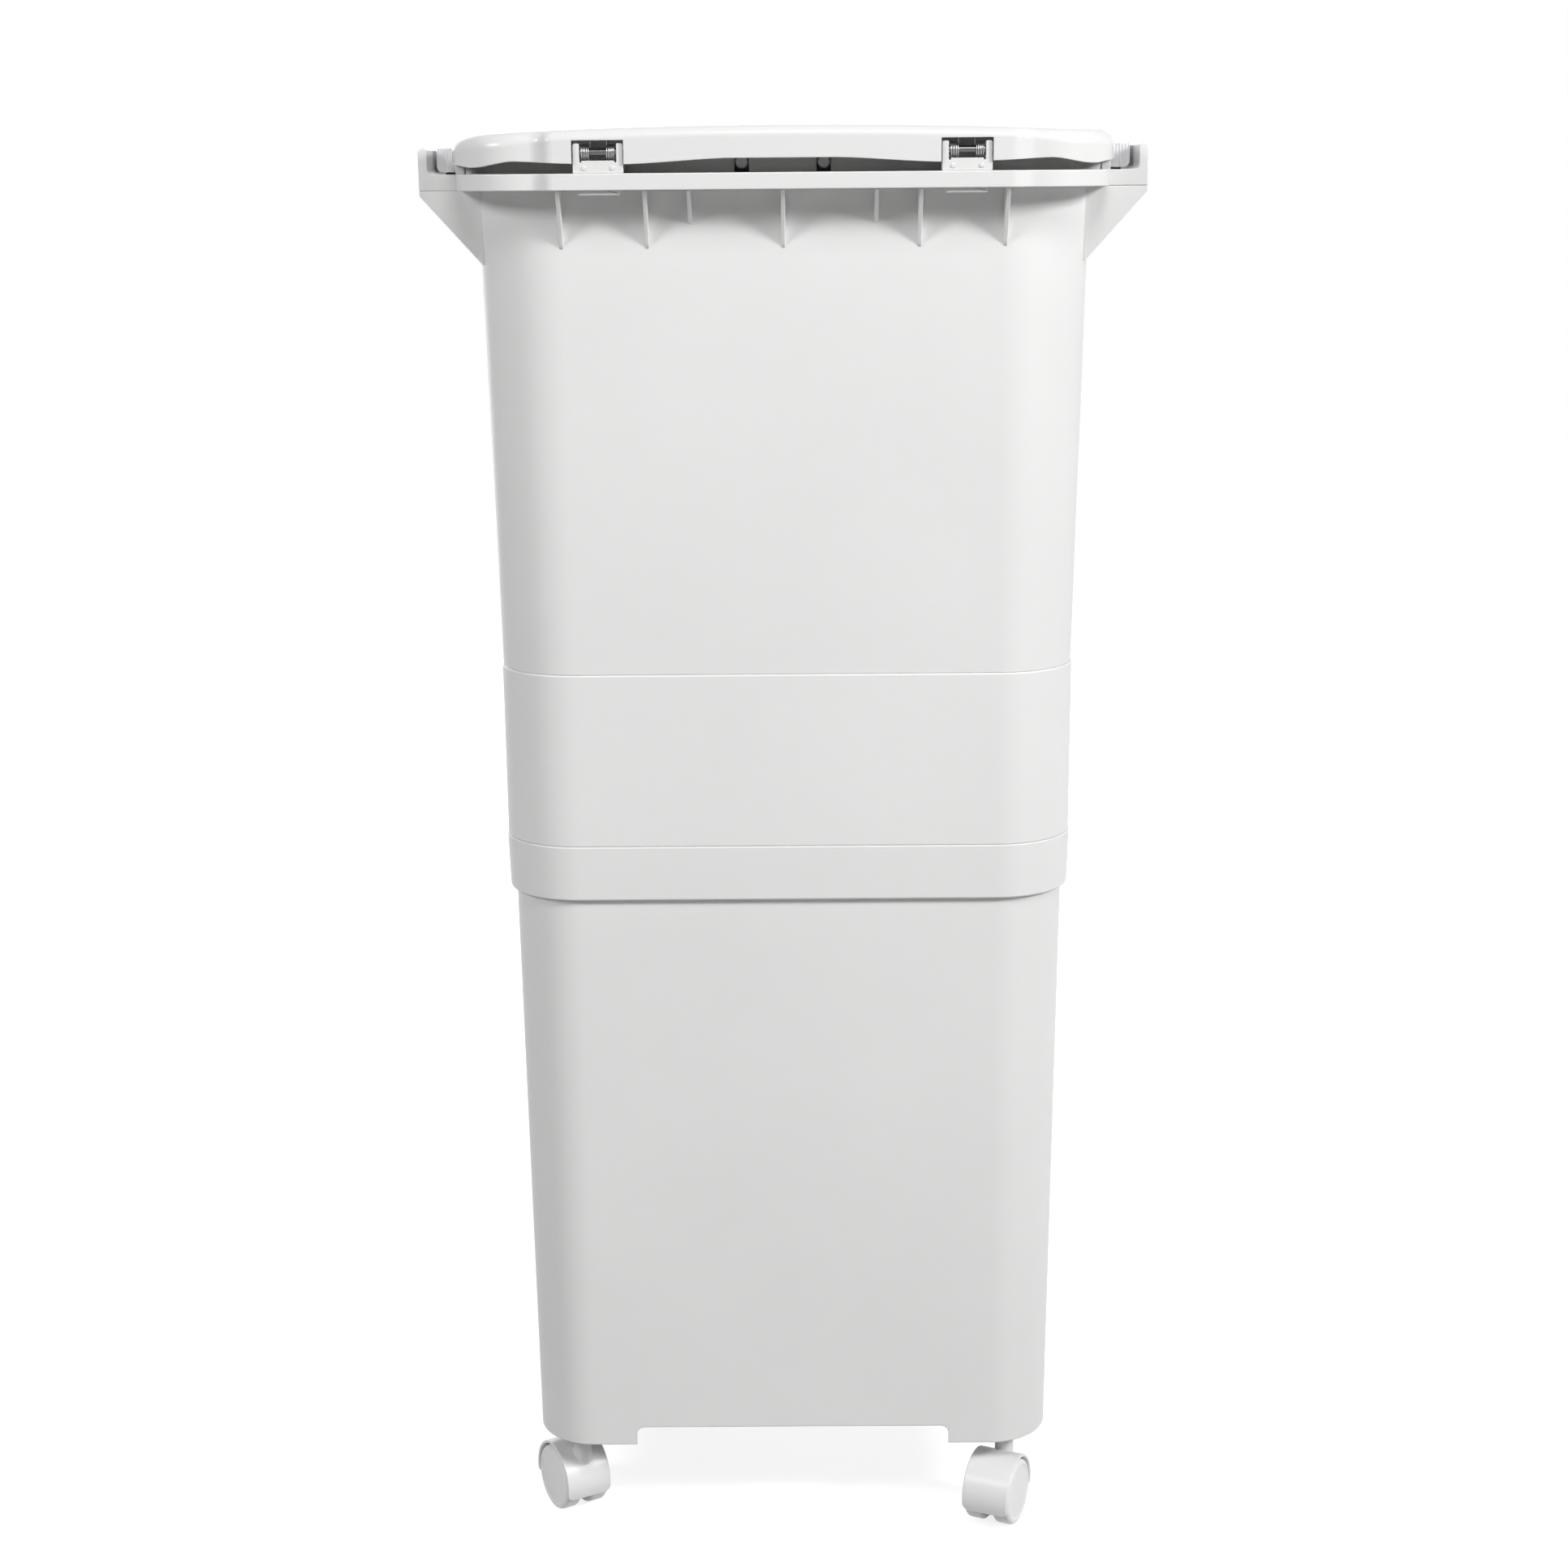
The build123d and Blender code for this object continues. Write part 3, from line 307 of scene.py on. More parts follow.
def placed(surface, place, turn=np.eye(3)):
    """A surface turned about the origin and then moved to a place."""
    points, normals = surface
    return points @ turn.T + place, normals @ turn.T


def middle_of(node):
    """Middle of a CAD node's box."""
    low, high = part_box(node)
    return np.array((low + high) / 2)


def socket_surface():
    """The socket's profile turned about the stem's axis: bore, mouth, outside and rounded crown."""
    mouth = lower_foot + SOCKET_RECESS
    crown = mouth + SOCKET_DEPTH + FLOOR
    wall = STEM_RADIUS - SOCKET_RADIUS
    axis = AXIS_GAP - SOCKET_RADIUS
    corners = [(axis, mouth + SOCKET_DEPTH), (wall, mouth + SOCKET_DEPTH), (wall, mouth), (0, mouth)]
    return turned(rounded_line(corners + [(0, crown), (axis, crown)], SOCKET_ROUNDS), SOCKET_RADIUS)


for caster in CASTERS:
    stem = middle_of(f"caster_{caster}_stem") * (1, 1, 0)
    make_piece(f"socket_{caster}", placed(socket_surface(), stem), *base_finish)


# Middle collar
# A ring of the same polypropylene that drops into the tub's mouth and carries the upper bin.
# Its front is cut away for the flap, and two small lugs inside hold the flap's pins.
FIT_GAP = 0.0004
COLLAR_FOOT_OFFSET = -0.0003
COLLAR_ROUNDS = [0.0004, 0.0009, 0, 0, 0.0011, 0.0006, 0, 0, 0.001, 0.0008, 0.0007, 0.0007]
SPIGOT_OFFSET = LOWER_MOUTH_OFFSET - WALL - FIT_GAP
FLAP_HALF = 0.115
FLAP_FOOT = 0.0153
FLAP_HEIGHT = 0.070
LUG_WIDTH = 0.0048
LUG_DEPTH = (-0.1400, -0.1333)
LUG_HEIGHT = 0.009
LUG_ENDS = 0.0004
SOFT_EDGE = 0.0006
END_STEPS = 5
ALONG_X, ALONG_Y = 0, 1
SIDES = {"right": 1, "left": -1}
collar_foot, collar_top = (corner.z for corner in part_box("middle_collar"))
window_foot = lower_top + FLAP_FOOT
window_top = window_foot + FLAP_HEIGHT


def collar_profile():
    """Closed profile of the ring and its spigot, with points on each side at the window's foot and top."""
    slope = -COLLAR_FOOT_OFFSET / (collar_top - lower_top)
    low, high = (COLLAR_FOOT_OFFSET + slope * (z - lower_top) for z in (window_foot, window_top))
    corners = [(SPIGOT_OFFSET, lower_top), (COLLAR_FOOT_OFFSET, lower_top), (low, window_foot)]
    corners += [(high, window_top), (0, collar_top), (-WALL, collar_top), (high - WALL, window_top)]
    corners += [(low - WALL, window_foot), (COLLAR_FOOT_OFFSET - WALL, lower_top + FLOOR)]
    corners += [(SPIGOT_OFFSET - WALL, lower_top + FLOOR), (SPIGOT_OFFSET - WALL, collar_foot)]
    return rounded_line(corners + [(SPIGOT_OFFSET, collar_foot)], COLLAR_ROUNDS, closed=True, steps=4)


def window_faces(path, line, points):
    """Quads of the collar without those in the flap window, with the window's reveal between its skins."""
    rows, columns = points.shape[:2]
    outer_foot, inner_foot = np.flatnonzero(np.abs(line[:, 1] - window_foot) < STEP)
    outer_top, inner_top = np.flatnonzero(np.abs(line[:, 1] - window_top) < STEP)
    quads = np.array(closed_grid(points, wrap=True)).reshape(rows, columns, 4)
    front = (path[1][:, 1] < -SQUARE_ON) & (np.abs(path[0][:, 0]) < FLAP_HALF + STEP)
    sill = np.flatnonzero(front & np.roll(front, -1))
    kept = np.ones((rows, columns), bool)
    kept[np.ix_(sill, np.r_[outer_foot:outer_top, inner_top:inner_foot])] = False
    number = np.arange(rows * columns).reshape(rows, columns)
    here, ahead = number[sill], number[(sill + 1) % rows]
    faces = list(quads[kept])
    for near, far in ((outer_foot, inner_foot), (inner_top, outer_top)):
        faces += list(np.stack([here[:, near], ahead[:, near], ahead[:, far], here[:, far]], 1))
    left, right = number[np.flatnonzero(front)[[0, -1]]]
    low = [*left[outer_foot : outer_top + 1], *left[inner_top : inner_foot + 1]]
    high = [*right[inner_top : inner_foot + 1], *right[outer_foot : outer_top + 1]]
    return faces + [np.array(low[::-1]), np.array(high[::-1])]


def around(middle, half):
    """The span of a half width each side of a middle."""
    return middle - half, middle + half


def mirrored(span, side):
    """The span on one side, 1 or -1, from its lower to its higher end."""
    return sorted(side * place for place in span)


def four_corners(across, upward):
    """Corners of an upright rectangle over two spans."""
    (first, last), (low, high) = across, upward
    return [(first, low), (last, low), (last, high), (first, high)]


def make_prism(name, corners, radii, axis, span, rounds, *finish):
    """A rounded outline drawn out along X or Y over a span. Towards each end it draws in by the end's
    rounding along a quarter circle, and an end with no rounding stays square."""
    corners = np.asarray(corners, float)
    ahead = np.roll(corners, -1, 0)
    radii, rounds = np.broadcast_to(radii, len(corners)), np.broadcast_to(rounds, 2)
    if np.sum(corners[:, 0] * ahead[:, 1] - ahead[:, 0] * corners[:, 1]) < 0:
        corners, radii = corners[::-1], radii[::-1]
    line, outward = rounded_line(corners, radii, closed=True)
    bend = np.linspace(0, math.pi / 2, END_STEPS)
    low, high = (bend if rounding else bend[-1:] for rounding in rounds)
    inset = np.append(rounds[0] * (1 - np.sin(low)), rounds[1] * (1 - np.sin(high))[::-1])
    first, last = rounds[0] * (1 - np.cos(low)), rounds[1] * (1 - np.cos(high))[::-1]
    place = np.append(span[0] + first, span[1] - last)
    tilt = np.append(-np.cos(low), np.cos(high)[::-1])
    flat = line[:, None, :] - outward[:, None, :] * inset[None, :, None]
    points = np.insert(flat, axis, place, axis=2)
    normals = outward[:, None, :] * np.sqrt(1 - tilt**2)[None, :, None]
    normals = np.insert(normals, axis, tilt, axis=2)
    return make_piece(name, (points, normals), *finish, closed_grid(points, flip=axis == ALONG_Y))


collar_path = with_stations(body_path(), np.array([-FLAP_HALF, FLAP_HALF]), (0, -1))
collar_line = collar_profile()
ring = carried(collar_path, collar_line)
collar = make_piece("collar_ring", ring, *base_finish, window_faces(collar_path, collar_line[0], ring[0]))
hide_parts("middle_collar")
lug_line = four_corners(LUG_DEPTH, (window_foot, window_foot + LUG_HEIGHT))
for side_name, side in SIDES.items():
    span = mirrored((FLAP_HALF, FLAP_HALF + LUG_WIDTH), side)
    make_prism(f"flap_lug_{side_name}", lug_line, SOFT_EDGE, ALONG_X, span, LUG_ENDS, *base_finish)


# Upper bin
# The second tub stands on a shoulder on the collar and has its own floor in a shallow spigot.
# It is moulded in the same plastic as the lower one, with a little more draft.
UPPER_FOOT_OFFSET = -0.0007
UPPER_MOUTH_OFFSET = 0.0052
UPPER_SPIGOT_OFFSET = -0.0028
UPPER_ROUNDS = [0, 0.002, 0.0006, 0.0007, 0.0008, 0.0008, 0.0006, 0.0008, 0.003, 0]
upper_foot, upper_top = (corner.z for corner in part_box("upper_bin"))
upper_finish = (bin_plastic, "upper", "bin_plastic")


def upper_bin_surface():
    """The upper tub's profile carried round the body path."""
    shoulder = collar_top + FLOOR
    inner_spigot = UPPER_SPIGOT_OFFSET - WALL
    corners = [(CENTRE_OFFSET, upper_foot), (UPPER_SPIGOT_OFFSET, upper_foot)]
    corners += [(UPPER_SPIGOT_OFFSET, collar_top), (UPPER_FOOT_OFFSET, collar_top)]
    corners += [(UPPER_MOUTH_OFFSET, upper_top), (UPPER_MOUTH_OFFSET - WALL, upper_top)]
    corners += [(UPPER_FOOT_OFFSET - WALL, shoulder), (inner_spigot, shoulder)]
    corners += [(inner_spigot, upper_foot + FLOOR), (CENTRE_OFFSET, upper_foot + FLOOR)]
    return carried(body_path(), rounded_line(corners, UPPER_ROUNDS, steps=6))


upper_bin = make_piece("upper_tub", upper_bin_surface(), *upper_finish)
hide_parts("upper_bin")


# Gussets and handle plates
# Blades moulded with the upper bin: seven thin triangles behind, under the rim, and four sloping plates
# on each side that carry a handle.
BLADE_EDGE = 0.0005
GUSSET_THICKNESS = 0.0022
GUSSET_REACH = 0.0203
GUSSET_SWELL = 1.15
GUSSET_POINTS = 9
GUSSETS = {0.0: 0.0323, 0.0737: 0.0323, 0.1202: 0.0323, 0.0502: 0.0195}
GUSSET_ROUNDS = [0] * (GUSSET_POINTS - 1) + [BLADE_EDGE] * 3
PLATE_THICKNESS = 0.003
PLATE_DROP = 0.0028
PLATE_FOOT_DROP = 0.0365
HANDLE_REACH = 0.0303
HANDLE_HALF = 0.1155
PLATE_INSET = 0.0004
INNER_PLATE = 0.060
mouth_x, mouth_y = BODY_HALF + UPPER_MOUTH_OFFSET
handle_x = mouth_x + HANDLE_REACH


def gusset_line(height):
    """Rear edge of a gusset, whose reach grows a little faster than its height, and then its root."""
    share = np.linspace(0, 1, GUSSET_POINTS)
    reach = (GUSSET_REACH + WALL / 2) * share**GUSSET_SWELL
    edge = np.stack([mouth_y - WALL / 2 + reach, upper_top - height * (1 - share)], 1)
    return np.concatenate([edge, [(mouth_y - WALL, upper_top), (mouth_y - WALL, upper_top - height)]])


def plate_line(rear):
    """A handle plate's slope, carried on to the middle of the bin's wall at the plate's place."""
    corner = BODY_CORNER + UPPER_MOUTH_OFFSET - WALL / 2
    beyond = max(abs(rear - PLATE_THICKNESS / 2) - (mouth_y - WALL / 2 - corner), 0)
    root = mouth_x - WALL / 2 - corner + math.sqrt(corner**2 - beyond**2)
    slope = (PLATE_FOOT_DROP - PLATE_DROP) / HANDLE_REACH
    outer_foot = upper_top - PLATE_DROP
    foot = outer_foot - slope * (handle_x - root)
    return np.array([(root, upper_top), (root, foot), (handle_x, outer_foot), (handle_x, upper_top)])


for place, height in GUSSETS.items():
    for x in sorted({place, -place}):
        name = f"gusset_{round(1000 * x)}".replace("-", "m")
        line, span = gusset_line(height), around(x, GUSSET_THICKNESS / 2)
        make_prism(name, line, GUSSET_ROUNDS, ALONG_X, span, BLADE_EDGE, *upper_finish)
plate_rears = [HANDLE_HALF - PLATE_INSET, INNER_PLATE + PLATE_THICKNESS / 2]
plate_rears += [PLATE_THICKNESS - rear for rear in plate_rears]
for side_name, side in SIDES.items():
    for number, rear in enumerate(plate_rears):
        name = f"handle_plate_{side_name}_{number}"
        line, span = plate_line(rear) * (side, 1), (rear - PLATE_THICKNESS, rear)
        make_prism(name, line, SOFT_EDGE, ALONG_Y, span, BLADE_EDGE, *upper_finish)


# Front flap
# A snap-in door in the collar that swings down on two steel pins, so the lower bin can be reached.
# It is a thin panel level with the collar, with a barrel along its foot and a thumb ledge at its top.
STEEL_GREY = (0.60, 0.60, 0.61)
STEEL_SHADE = 0.8
STEEL_ROUGHNESS = (0.22, 0.34)


def dress(material, *nodes):
    """Gives CAD nodes that keep their own shape one of the finishes."""
    for node in nodes:
        slots = frame["nodes"][node].data.materials
        slots.clear()
        slots.append(material)


def drawn_steel(name, colour):
    """Drawn wire and rod: grey metal with fine streaks that vary its tone and its gloss."""
    material, shader, place = new_material(name)
    streaks = noise_over(material, place, stretch=(300.0, 2500.0, 2500.0))
    dull = tuple(channel * STEEL_SHADE for channel in colour)
    inputs = {"Base Color": blend_of(material, streaks, dull, colour), "Metallic": 1.0}
    fill(material, shader, inputs | {"Roughness": blend_of(material, streaks, *STEEL_ROUGHNESS)})
    return material


steel = drawn_steel("drawn_steel", STEEL_GREY)
dress(bin_plastic, "front_flap")
dress(steel, "flap_pin_left", "flap_pin_right")


# Top frame
# A separate glossy moulding snapped onto the upper bin's mouth. A flat rim with a turned-down edge runs all
# round, with a shallow block in the middle of the front and the rear.
FRAME_HALF = (0.1782, 0.165)
RIM_CORNER = 0.040
BLOCK_TOP = 0.1245
BLOCK_FOOT = 0.1305
BLOCK_BLENDS = [0.012, 0.009, 0.009, 0.012]
REAR_STEP = 0.005
FRONT_STEP = 0.0035
FRAME_BAND = 0.0088
FRAME_PLATE = 0.0026
FRAME_LIP = 0.0022
RIM_ROUNDS = [0, 0.0005, 0.0005, 0.0006, 0.0008, 0]
OPEN_SIDE_CUT = 0.9
UPSTAND = 0.0127
UPSTAND_OFFSET = UPPER_MOUTH_OFFSET - WALL - FIT_GAP
END_WALL = 0.003
SLOT_HALF = 0.0085
SLOT_FRONT = -0.160
RIM_GREY = (0.785, 0.785, 0.78)
frame_top = upper_top + FRAME_BAND
plate_foot = frame_top - FRAME_PLATE
hand = HANDLE_HALF - END_WALL
rim_plastic = moulded_plastic("rim_plastic", RIM_GREY, roughness=0.32, grain=0.05)
rim_finish = (rim_plastic, "upper", "lid_plastic")


def rim_path(across):
    """Frame or lid outline, anticlockwise from above: rounded corners and a shallow block on two sides."""
    deep = FRAME_HALF[1]
    rear, front = deep + REAR_STEP, -deep - FRONT_STEP
    corners = [(across, -deep), (across, deep), (BLOCK_FOOT, deep), (BLOCK_TOP, rear), (-BLOCK_TOP, rear)]
    corners += [(-BLOCK_FOOT, deep), (-across, deep), (-across, -deep), (-BLOCK_FOOT, -deep)]
    corners += [(-BLOCK_TOP, front), (BLOCK_TOP, front), (BLOCK_FOOT, -deep)]
    radii = 2 * ([RIM_CORNER] * 2 + BLOCK_BLENDS)
    return rounded_line(corners, radii, closed=True, steps=16)


def on_upstand(points):
    """Nearest place in the upstand's wall: from the nearest point of its core, out by the corner's radius."""
    half = BODY_HALF + UPSTAND_OFFSET - WALL / 2
    radius = BODY_CORNER + UPSTAND_OFFSET - WALL / 2
    core = np.clip(points, radius - half, half - radius)
    away = points - core
    return core + away * radius / np.linalg.norm(away, axis=1)[:, None]


def step_stations(half):
    """Stations for a sudden step a half width each side of the middle: two points close together at each."""
    return np.array([-half, STEP - half, half - STEP, half])


def rim_surface():
    """The edge's profile carried round the rim and joined to the upstand above and below. Beside the finger
    spaces the turned-down edge is cut short, and at the front the plate is cut back for the latch."""
    path = rim_path(FRAME_HALF[0])
    for outward, half in (((1, 0), hand), ((-1, 0), hand), ((0, -1), SLOT_HALF)):
        path = with_stations(path, step_stations(half), outward)
    points, outward = path
    inside = -2 * FRAME_LIP
    corners = [(inside, plate_foot), (-FRAME_LIP, plate_foot), (-FRAME_LIP, upper_top), (0, upper_top)]
    corners += [(0, frame_top), (inside, frame_top)]
    edge, edge_normals = carried(path, rounded_line(corners, RIM_ROUNDS))
    open_side = (np.abs(outward[:, 0]) > SQUARE_ON) & (np.abs(points[:, 1]) < hand - STEP / 2)
    below = np.minimum(edge[:, :, 2] - plate_foot, 0)
    edge[:, :, 2] -= np.where(open_side[:, None], OPEN_SIDE_CUT * below, 0)
    inner = on_upstand(points)
    slot = (points[:, 1] < SLOT_FRONT) & (np.abs(points[:, 0]) < SLOT_HALF - STEP / 2)
    inner[slot, 1] = SLOT_FRONT
    foot, top = (np.insert(inner, 2, height, axis=1)[:, None] for height in (plate_foot, frame_top))
    up = np.tile([0.0, 0, 1], (len(points), 1, 1))
    return np.concatenate([foot, edge, top], 1), np.concatenate([-up, edge_normals, up], 1)


rim = rim_surface()
rim_piece = make_piece("frame_rim", rim, *rim_finish, closed_grid(rim[0], wrap=True))
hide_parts("top_frame")


# Upstand
# A thin wall on the frame that stands inside the lid and reaches down into the bin's mouth.
# Two notches in its rear edge leave room for the bag pegs.
PEG_X = 0.0221
PEG_RISE = 0.0052
PEG_NOTCH_HALF = 0.0039
NOTCH_SILL = 0.0003
FRAME_SPIGOT = 0.010


def upstand_surface():
    """A closed profile carried round the body path, with its top let down at the notches."""
    heights = (upper_top - FRAME_SPIGOT, frame_top + UPSTAND)
    corners = four_corners((UPSTAND_OFFSET - WALL, UPSTAND_OFFSET), heights)
    line = rounded_line(corners, [SOFT_EDGE] * 4, closed=True, steps=4)
    edges = step_stations(PEG_NOTCH_HALF)
    path = with_stations(body_path(), np.append(edges - PEG_X, edges + PEG_X), (0, 1))
    points, normals = carried(path, line)
    from_peg = np.abs(np.abs(path[0][:, 0]) - PEG_X)
    notch = (path[1][:, 1] > SQUARE_ON) & (from_peg < PEG_NOTCH_HALF - STEP / 2)
    drop = UPSTAND - NOTCH_SILL
    points[:, :, 2] -= np.where(notch[:, None] & (points[:, :, 2] > frame_top), drop, 0)
    return points, normals


wall = upstand_surface()
make_piece("frame_upstand", wall, *rim_finish, closed_grid(wall[0], wrap=True))


# Side handles
# On each side the frame swells into a channel that the fingers reach from below, closed at both ends.
# A soft ribbed insert lies on a low seat in the channel.
HANDLE_RISE = 0.014
HANDLE_FLOOR = 0.003
HANDLE_POST = 0.005
CREST_ROUNDS = [0.0006, 0.0028, 0.0012, 0.003]
CHANNEL_ROUNDS = CREST_ROUNDS + [0.0003, 0.0003, 0.0012, 0.0006]
STOP_ROUNDS = CREST_ROUNDS + [0.0006, 0.0006]
GRIP_SEAT = (0.184, 0.190)
GRIP_SEAT_HALF = 0.080
FINE_EDGE = 0.0003
SUNK = 0.0001
GRIP_WHITE = (0.91, 0.905, 0.93)
grip_plastic = moulded_plastic("grip_plastic", GRIP_WHITE, roughness=0.45, grain=0.12)
handle_top = frame_top + HANDLE_RISE
handle_floor = frame_top - SUNK
handle_root = FRAME_HALF[0] - FRAME_LIP
handle_post = handle_x - HANDLE_POST
stop_root = mouth_x - WALL / 2
crest = [(handle_x, upper_top), (handle_x, handle_top), (handle_post, handle_top)]
crest.append((handle_post, handle_floor))
channel = crest + [(handle_root, handle_floor), (handle_root, plate_foot + SUNK)]
channel += [(handle_post, handle_floor - HANDLE_FLOOR), (handle_post, upper_top)]
stop = crest + [(stop_root, handle_floor), (stop_root, upper_top)]
seat = four_corners(GRIP_SEAT, (plate_foot + SUNK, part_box("grip_right")[0].z))
handle_pieces = {
    "grip_seat_{}": (seat, FINE_EDGE, around(0, GRIP_SEAT_HALF), FINE_EDGE),
    "handle_{}": (channel, CHANNEL_ROUNDS, around(0, hand), 0),
    "handle_{}_rear": (stop, STOP_ROUNDS, (hand, HANDLE_HALF), (0, SOFT_EDGE)),
    "handle_{}_front": (stop, STOP_ROUNDS, (-HANDLE_HALF, -hand), (SOFT_EDGE, 0)),
}
for side_name, side in SIDES.items():
    for name, (line, radii, span, rounds) in handle_pieces.items():
        line = np.array(line) * (side, 1)
        make_prism(name.format(side_name), line, radii, ALONG_Y, span, rounds, *rim_finish)
dress(grip_plastic, "grip_left", "grip_right")


# Button housing
# A box behind the front block, moulded with the frame, holds the latch button in a round-cornered window.
# Four small lugs on the rim near its corners carry the closed lid, each with a rib before it.
HOUSING_HALF = 0.038
HOUSING_FOOT = 0.036
HOUSING_WALL = 0.0025
HOUSING_PROUD = 0.0003
HOUSING_GAP = 0.0003
HOUSING_CORNER = 0.0008
HOUSING_BEVEL = 0.0005
WINDOW_HALF = (0.026, 0.011)
WINDOW_CORNER = 0.0045
WINDOW_BEVEL = 0.0004
SHARP_FROM = math.radians(35)
BUTTON_DROP = 0.0198
REST_LUG = (0.005, 0.006)
REST_LUG_PLACE = (0.1755, 0.128)
REST_GAP = 0.0003
REST_RIB = ((0.163, 0.1755), (0.1105, 0.1135))
REST_RIB_RISE = 0.006
RISE_START = 0.169
LID_HALF_WIDTH = 0.180
LID_SIDE_RISE = 0.0021
button_z = frame_top - BUTTON_DROP
block_front = -FRAME_HALF[1] - FRONT_STEP
housing_front = block_front - HOUSING_PROUD
housing_foot = frame_top - HOUSING_FOOT
lid_foot, lid_crown = (corner.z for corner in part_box("lid"))


def symmetric(half):
    """Outline from the corners of its right half, in order, and their mirror images."""
    left = [(-x, z) for x, z in half]
    return [left[0], *half, *left[:0:-1]]


def window_wall():
    """Front wall of the housing: its outline and the window's outline, point for point, at two depths."""
    outer = four_corners(around(0, HOUSING_HALF), (housing_foot, frame_top - SUNK))
    hole = four_corners(around(0, WINDOW_HALF[0]), around(button_z, WINDOW_HALF[1]))
    outline, outward = rounded_line(outer, [HOUSING_CORNER] * 4, closed=True, steps=8)
    window, inward = rounded_line(hole, [WINDOW_CORNER] * 4, closed=True, steps=8)
    rows = [(outline - HOUSING_BEVEL * outward, 0), (window + WINDOW_BEVEL * inward, 0)]
    rows += [(window, WINDOW_BEVEL), (window, HOUSING_WALL)]
    rows += [(outline, HOUSING_WALL), (outline, HOUSING_BEVEL)]
    return np.stack([np.insert(flat, 1, housing_front + depth, axis=1) for flat, depth in rows], 1)


front_wall = window_wall()
front = make_piece("housing_front", (front_wall, None), *rim_finish, closed_grid(front_wall, wrap=True))
front.data.set_sharp_from_angle(angle=SHARP_FROM)
inner_half = HOUSING_HALF - HOUSING_WALL
tray_foot, tray_top = housing_foot + HOUSING_WALL, plate_foot + SUNK
tray = [(HOUSING_HALF, housing_foot), (HOUSING_HALF, tray_top)]
tray += [(inner_half, tray_top), (inner_half, tray_foot)]
span = (housing_front + HOUSING_WALL, -mouth_y - HOUSING_GAP)
make_prism("housing_tray", symmetric(tray), HOUSING_CORNER, ALONG_Y, span, (0, BLADE_EDGE), *rim_finish)
lid_rise = LID_SIDE_RISE * (REST_LUG_PLACE[0] - RISE_START) / (LID_HALF_WIDTH - RISE_START)
rest_lug = [around(place, size / 2) for place, size in zip(REST_LUG_PLACE, REST_LUG)]
rests = {"lug": (*rest_lug, lid_foot + lid_rise - REST_GAP), "rib": (*REST_RIB, frame_top + REST_RIB_RISE)}
for x_name, x_side in SIDES.items():
    for y_name, y_side in (("rear", 1), ("front", -1)):
        for rest, (across, along, top) in rests.items():
            line = four_corners(mirrored(along, y_side), (plate_foot, top))
            name, span = f"rest_{rest}_{y_name}_{x_name}", mirrored(across, x_side)
            make_prism(name, line, SOFT_EDGE, ALONG_X, span, SOFT_EDGE, *rim_finish)


# Lid
# A glossy crowned shell hinged behind. Its rear edge waves above the frame and is cut away for the two
# hinges, and its outline follows the frame's shallow blocks front and rear.
LID_WALL = 0.0025
LID_LIP = 0.0004
LID_EDGE = 0.008
REAR_EDGE = 0.0062
EDGE_RAMP = (0.124, 0.150)
EDGE_BENDS = np.linspace(0, math.pi / 2, 11)
CROWN_RADIUS = 3.6
CROWN_SHARES = np.array([0.02, 0.3, 0.6, 0.85, 0.97])
HINGE_X = 0.0978
HINGE_CUT_HALF = 0.01375
HINGE_CUT_RISE = 0.017
WAVE_PLACES = np.array([0.030, 0.082, 0.112, 0.1445, 0.164])
WAVE_RISES = np.array([0.0039, 0.0011, 0.0015, 0.0030, 0.0])
WAVE_STRAIGHT = 0.6
WAVE_STATIONS = np.linspace(0.0015, BLOCK_TOP - 0.005, 40)


def lid_foot_line(points):
    """Height of the lid's lower edge: slopes between level places behind, part straight and part half
    cosine, a straight rise towards the sides, and a step up at each hinge."""
    x = np.abs(points[:, 0])
    rear = points[:, 1] > FRAME_HALF[1] - RIM_CORNER
    after = np.clip(np.searchsorted(WAVE_PLACES, x), 1, len(WAVE_PLACES) - 1)
    share = np.clip((x - WAVE_PLACES[after - 1]) / (WAVE_PLACES[after] - WAVE_PLACES[after - 1]), 0, 1)
    ease = WAVE_STRAIGHT * share + (1 - WAVE_STRAIGHT) / 2 * (1 - np.cos(math.pi * share))
    wave = WAVE_RISES[after - 1] + (WAVE_RISES[after] - WAVE_RISES[after - 1]) * ease
    side = LID_SIDE_RISE * np.clip((x - RISE_START) / (LID_HALF_WIDTH - RISE_START), 0, 1)
    foot = lid_foot + np.where(rear, wave, 0) + side
    return np.where(rear & (np.abs(x - HINGE_X) < HINGE_CUT_HALF), frame_top + HINGE_CUT_RISE, foot)


def lid_edge_radius(points):
    """Radius of the lid's upper edge: smaller along the rear block, with a smooth change towards its ends."""
    share = np.clip((np.abs(points[:, 0]) - EDGE_RAMP[0]) / (EDGE_RAMP[1] - EDGE_RAMP[0]), 0, 1)
    ease = share**2 * (3 - 2 * share)
    return np.where(points[:, 1] > 0, REAR_EDGE + (LID_EDGE - REAR_EDGE) * ease, LID_EDGE)


def crown_over(x):
    """Height of the lid's crown, an arch from side to side."""
    return lid_crown - x**2 / (2 * CROWN_RADIUS)


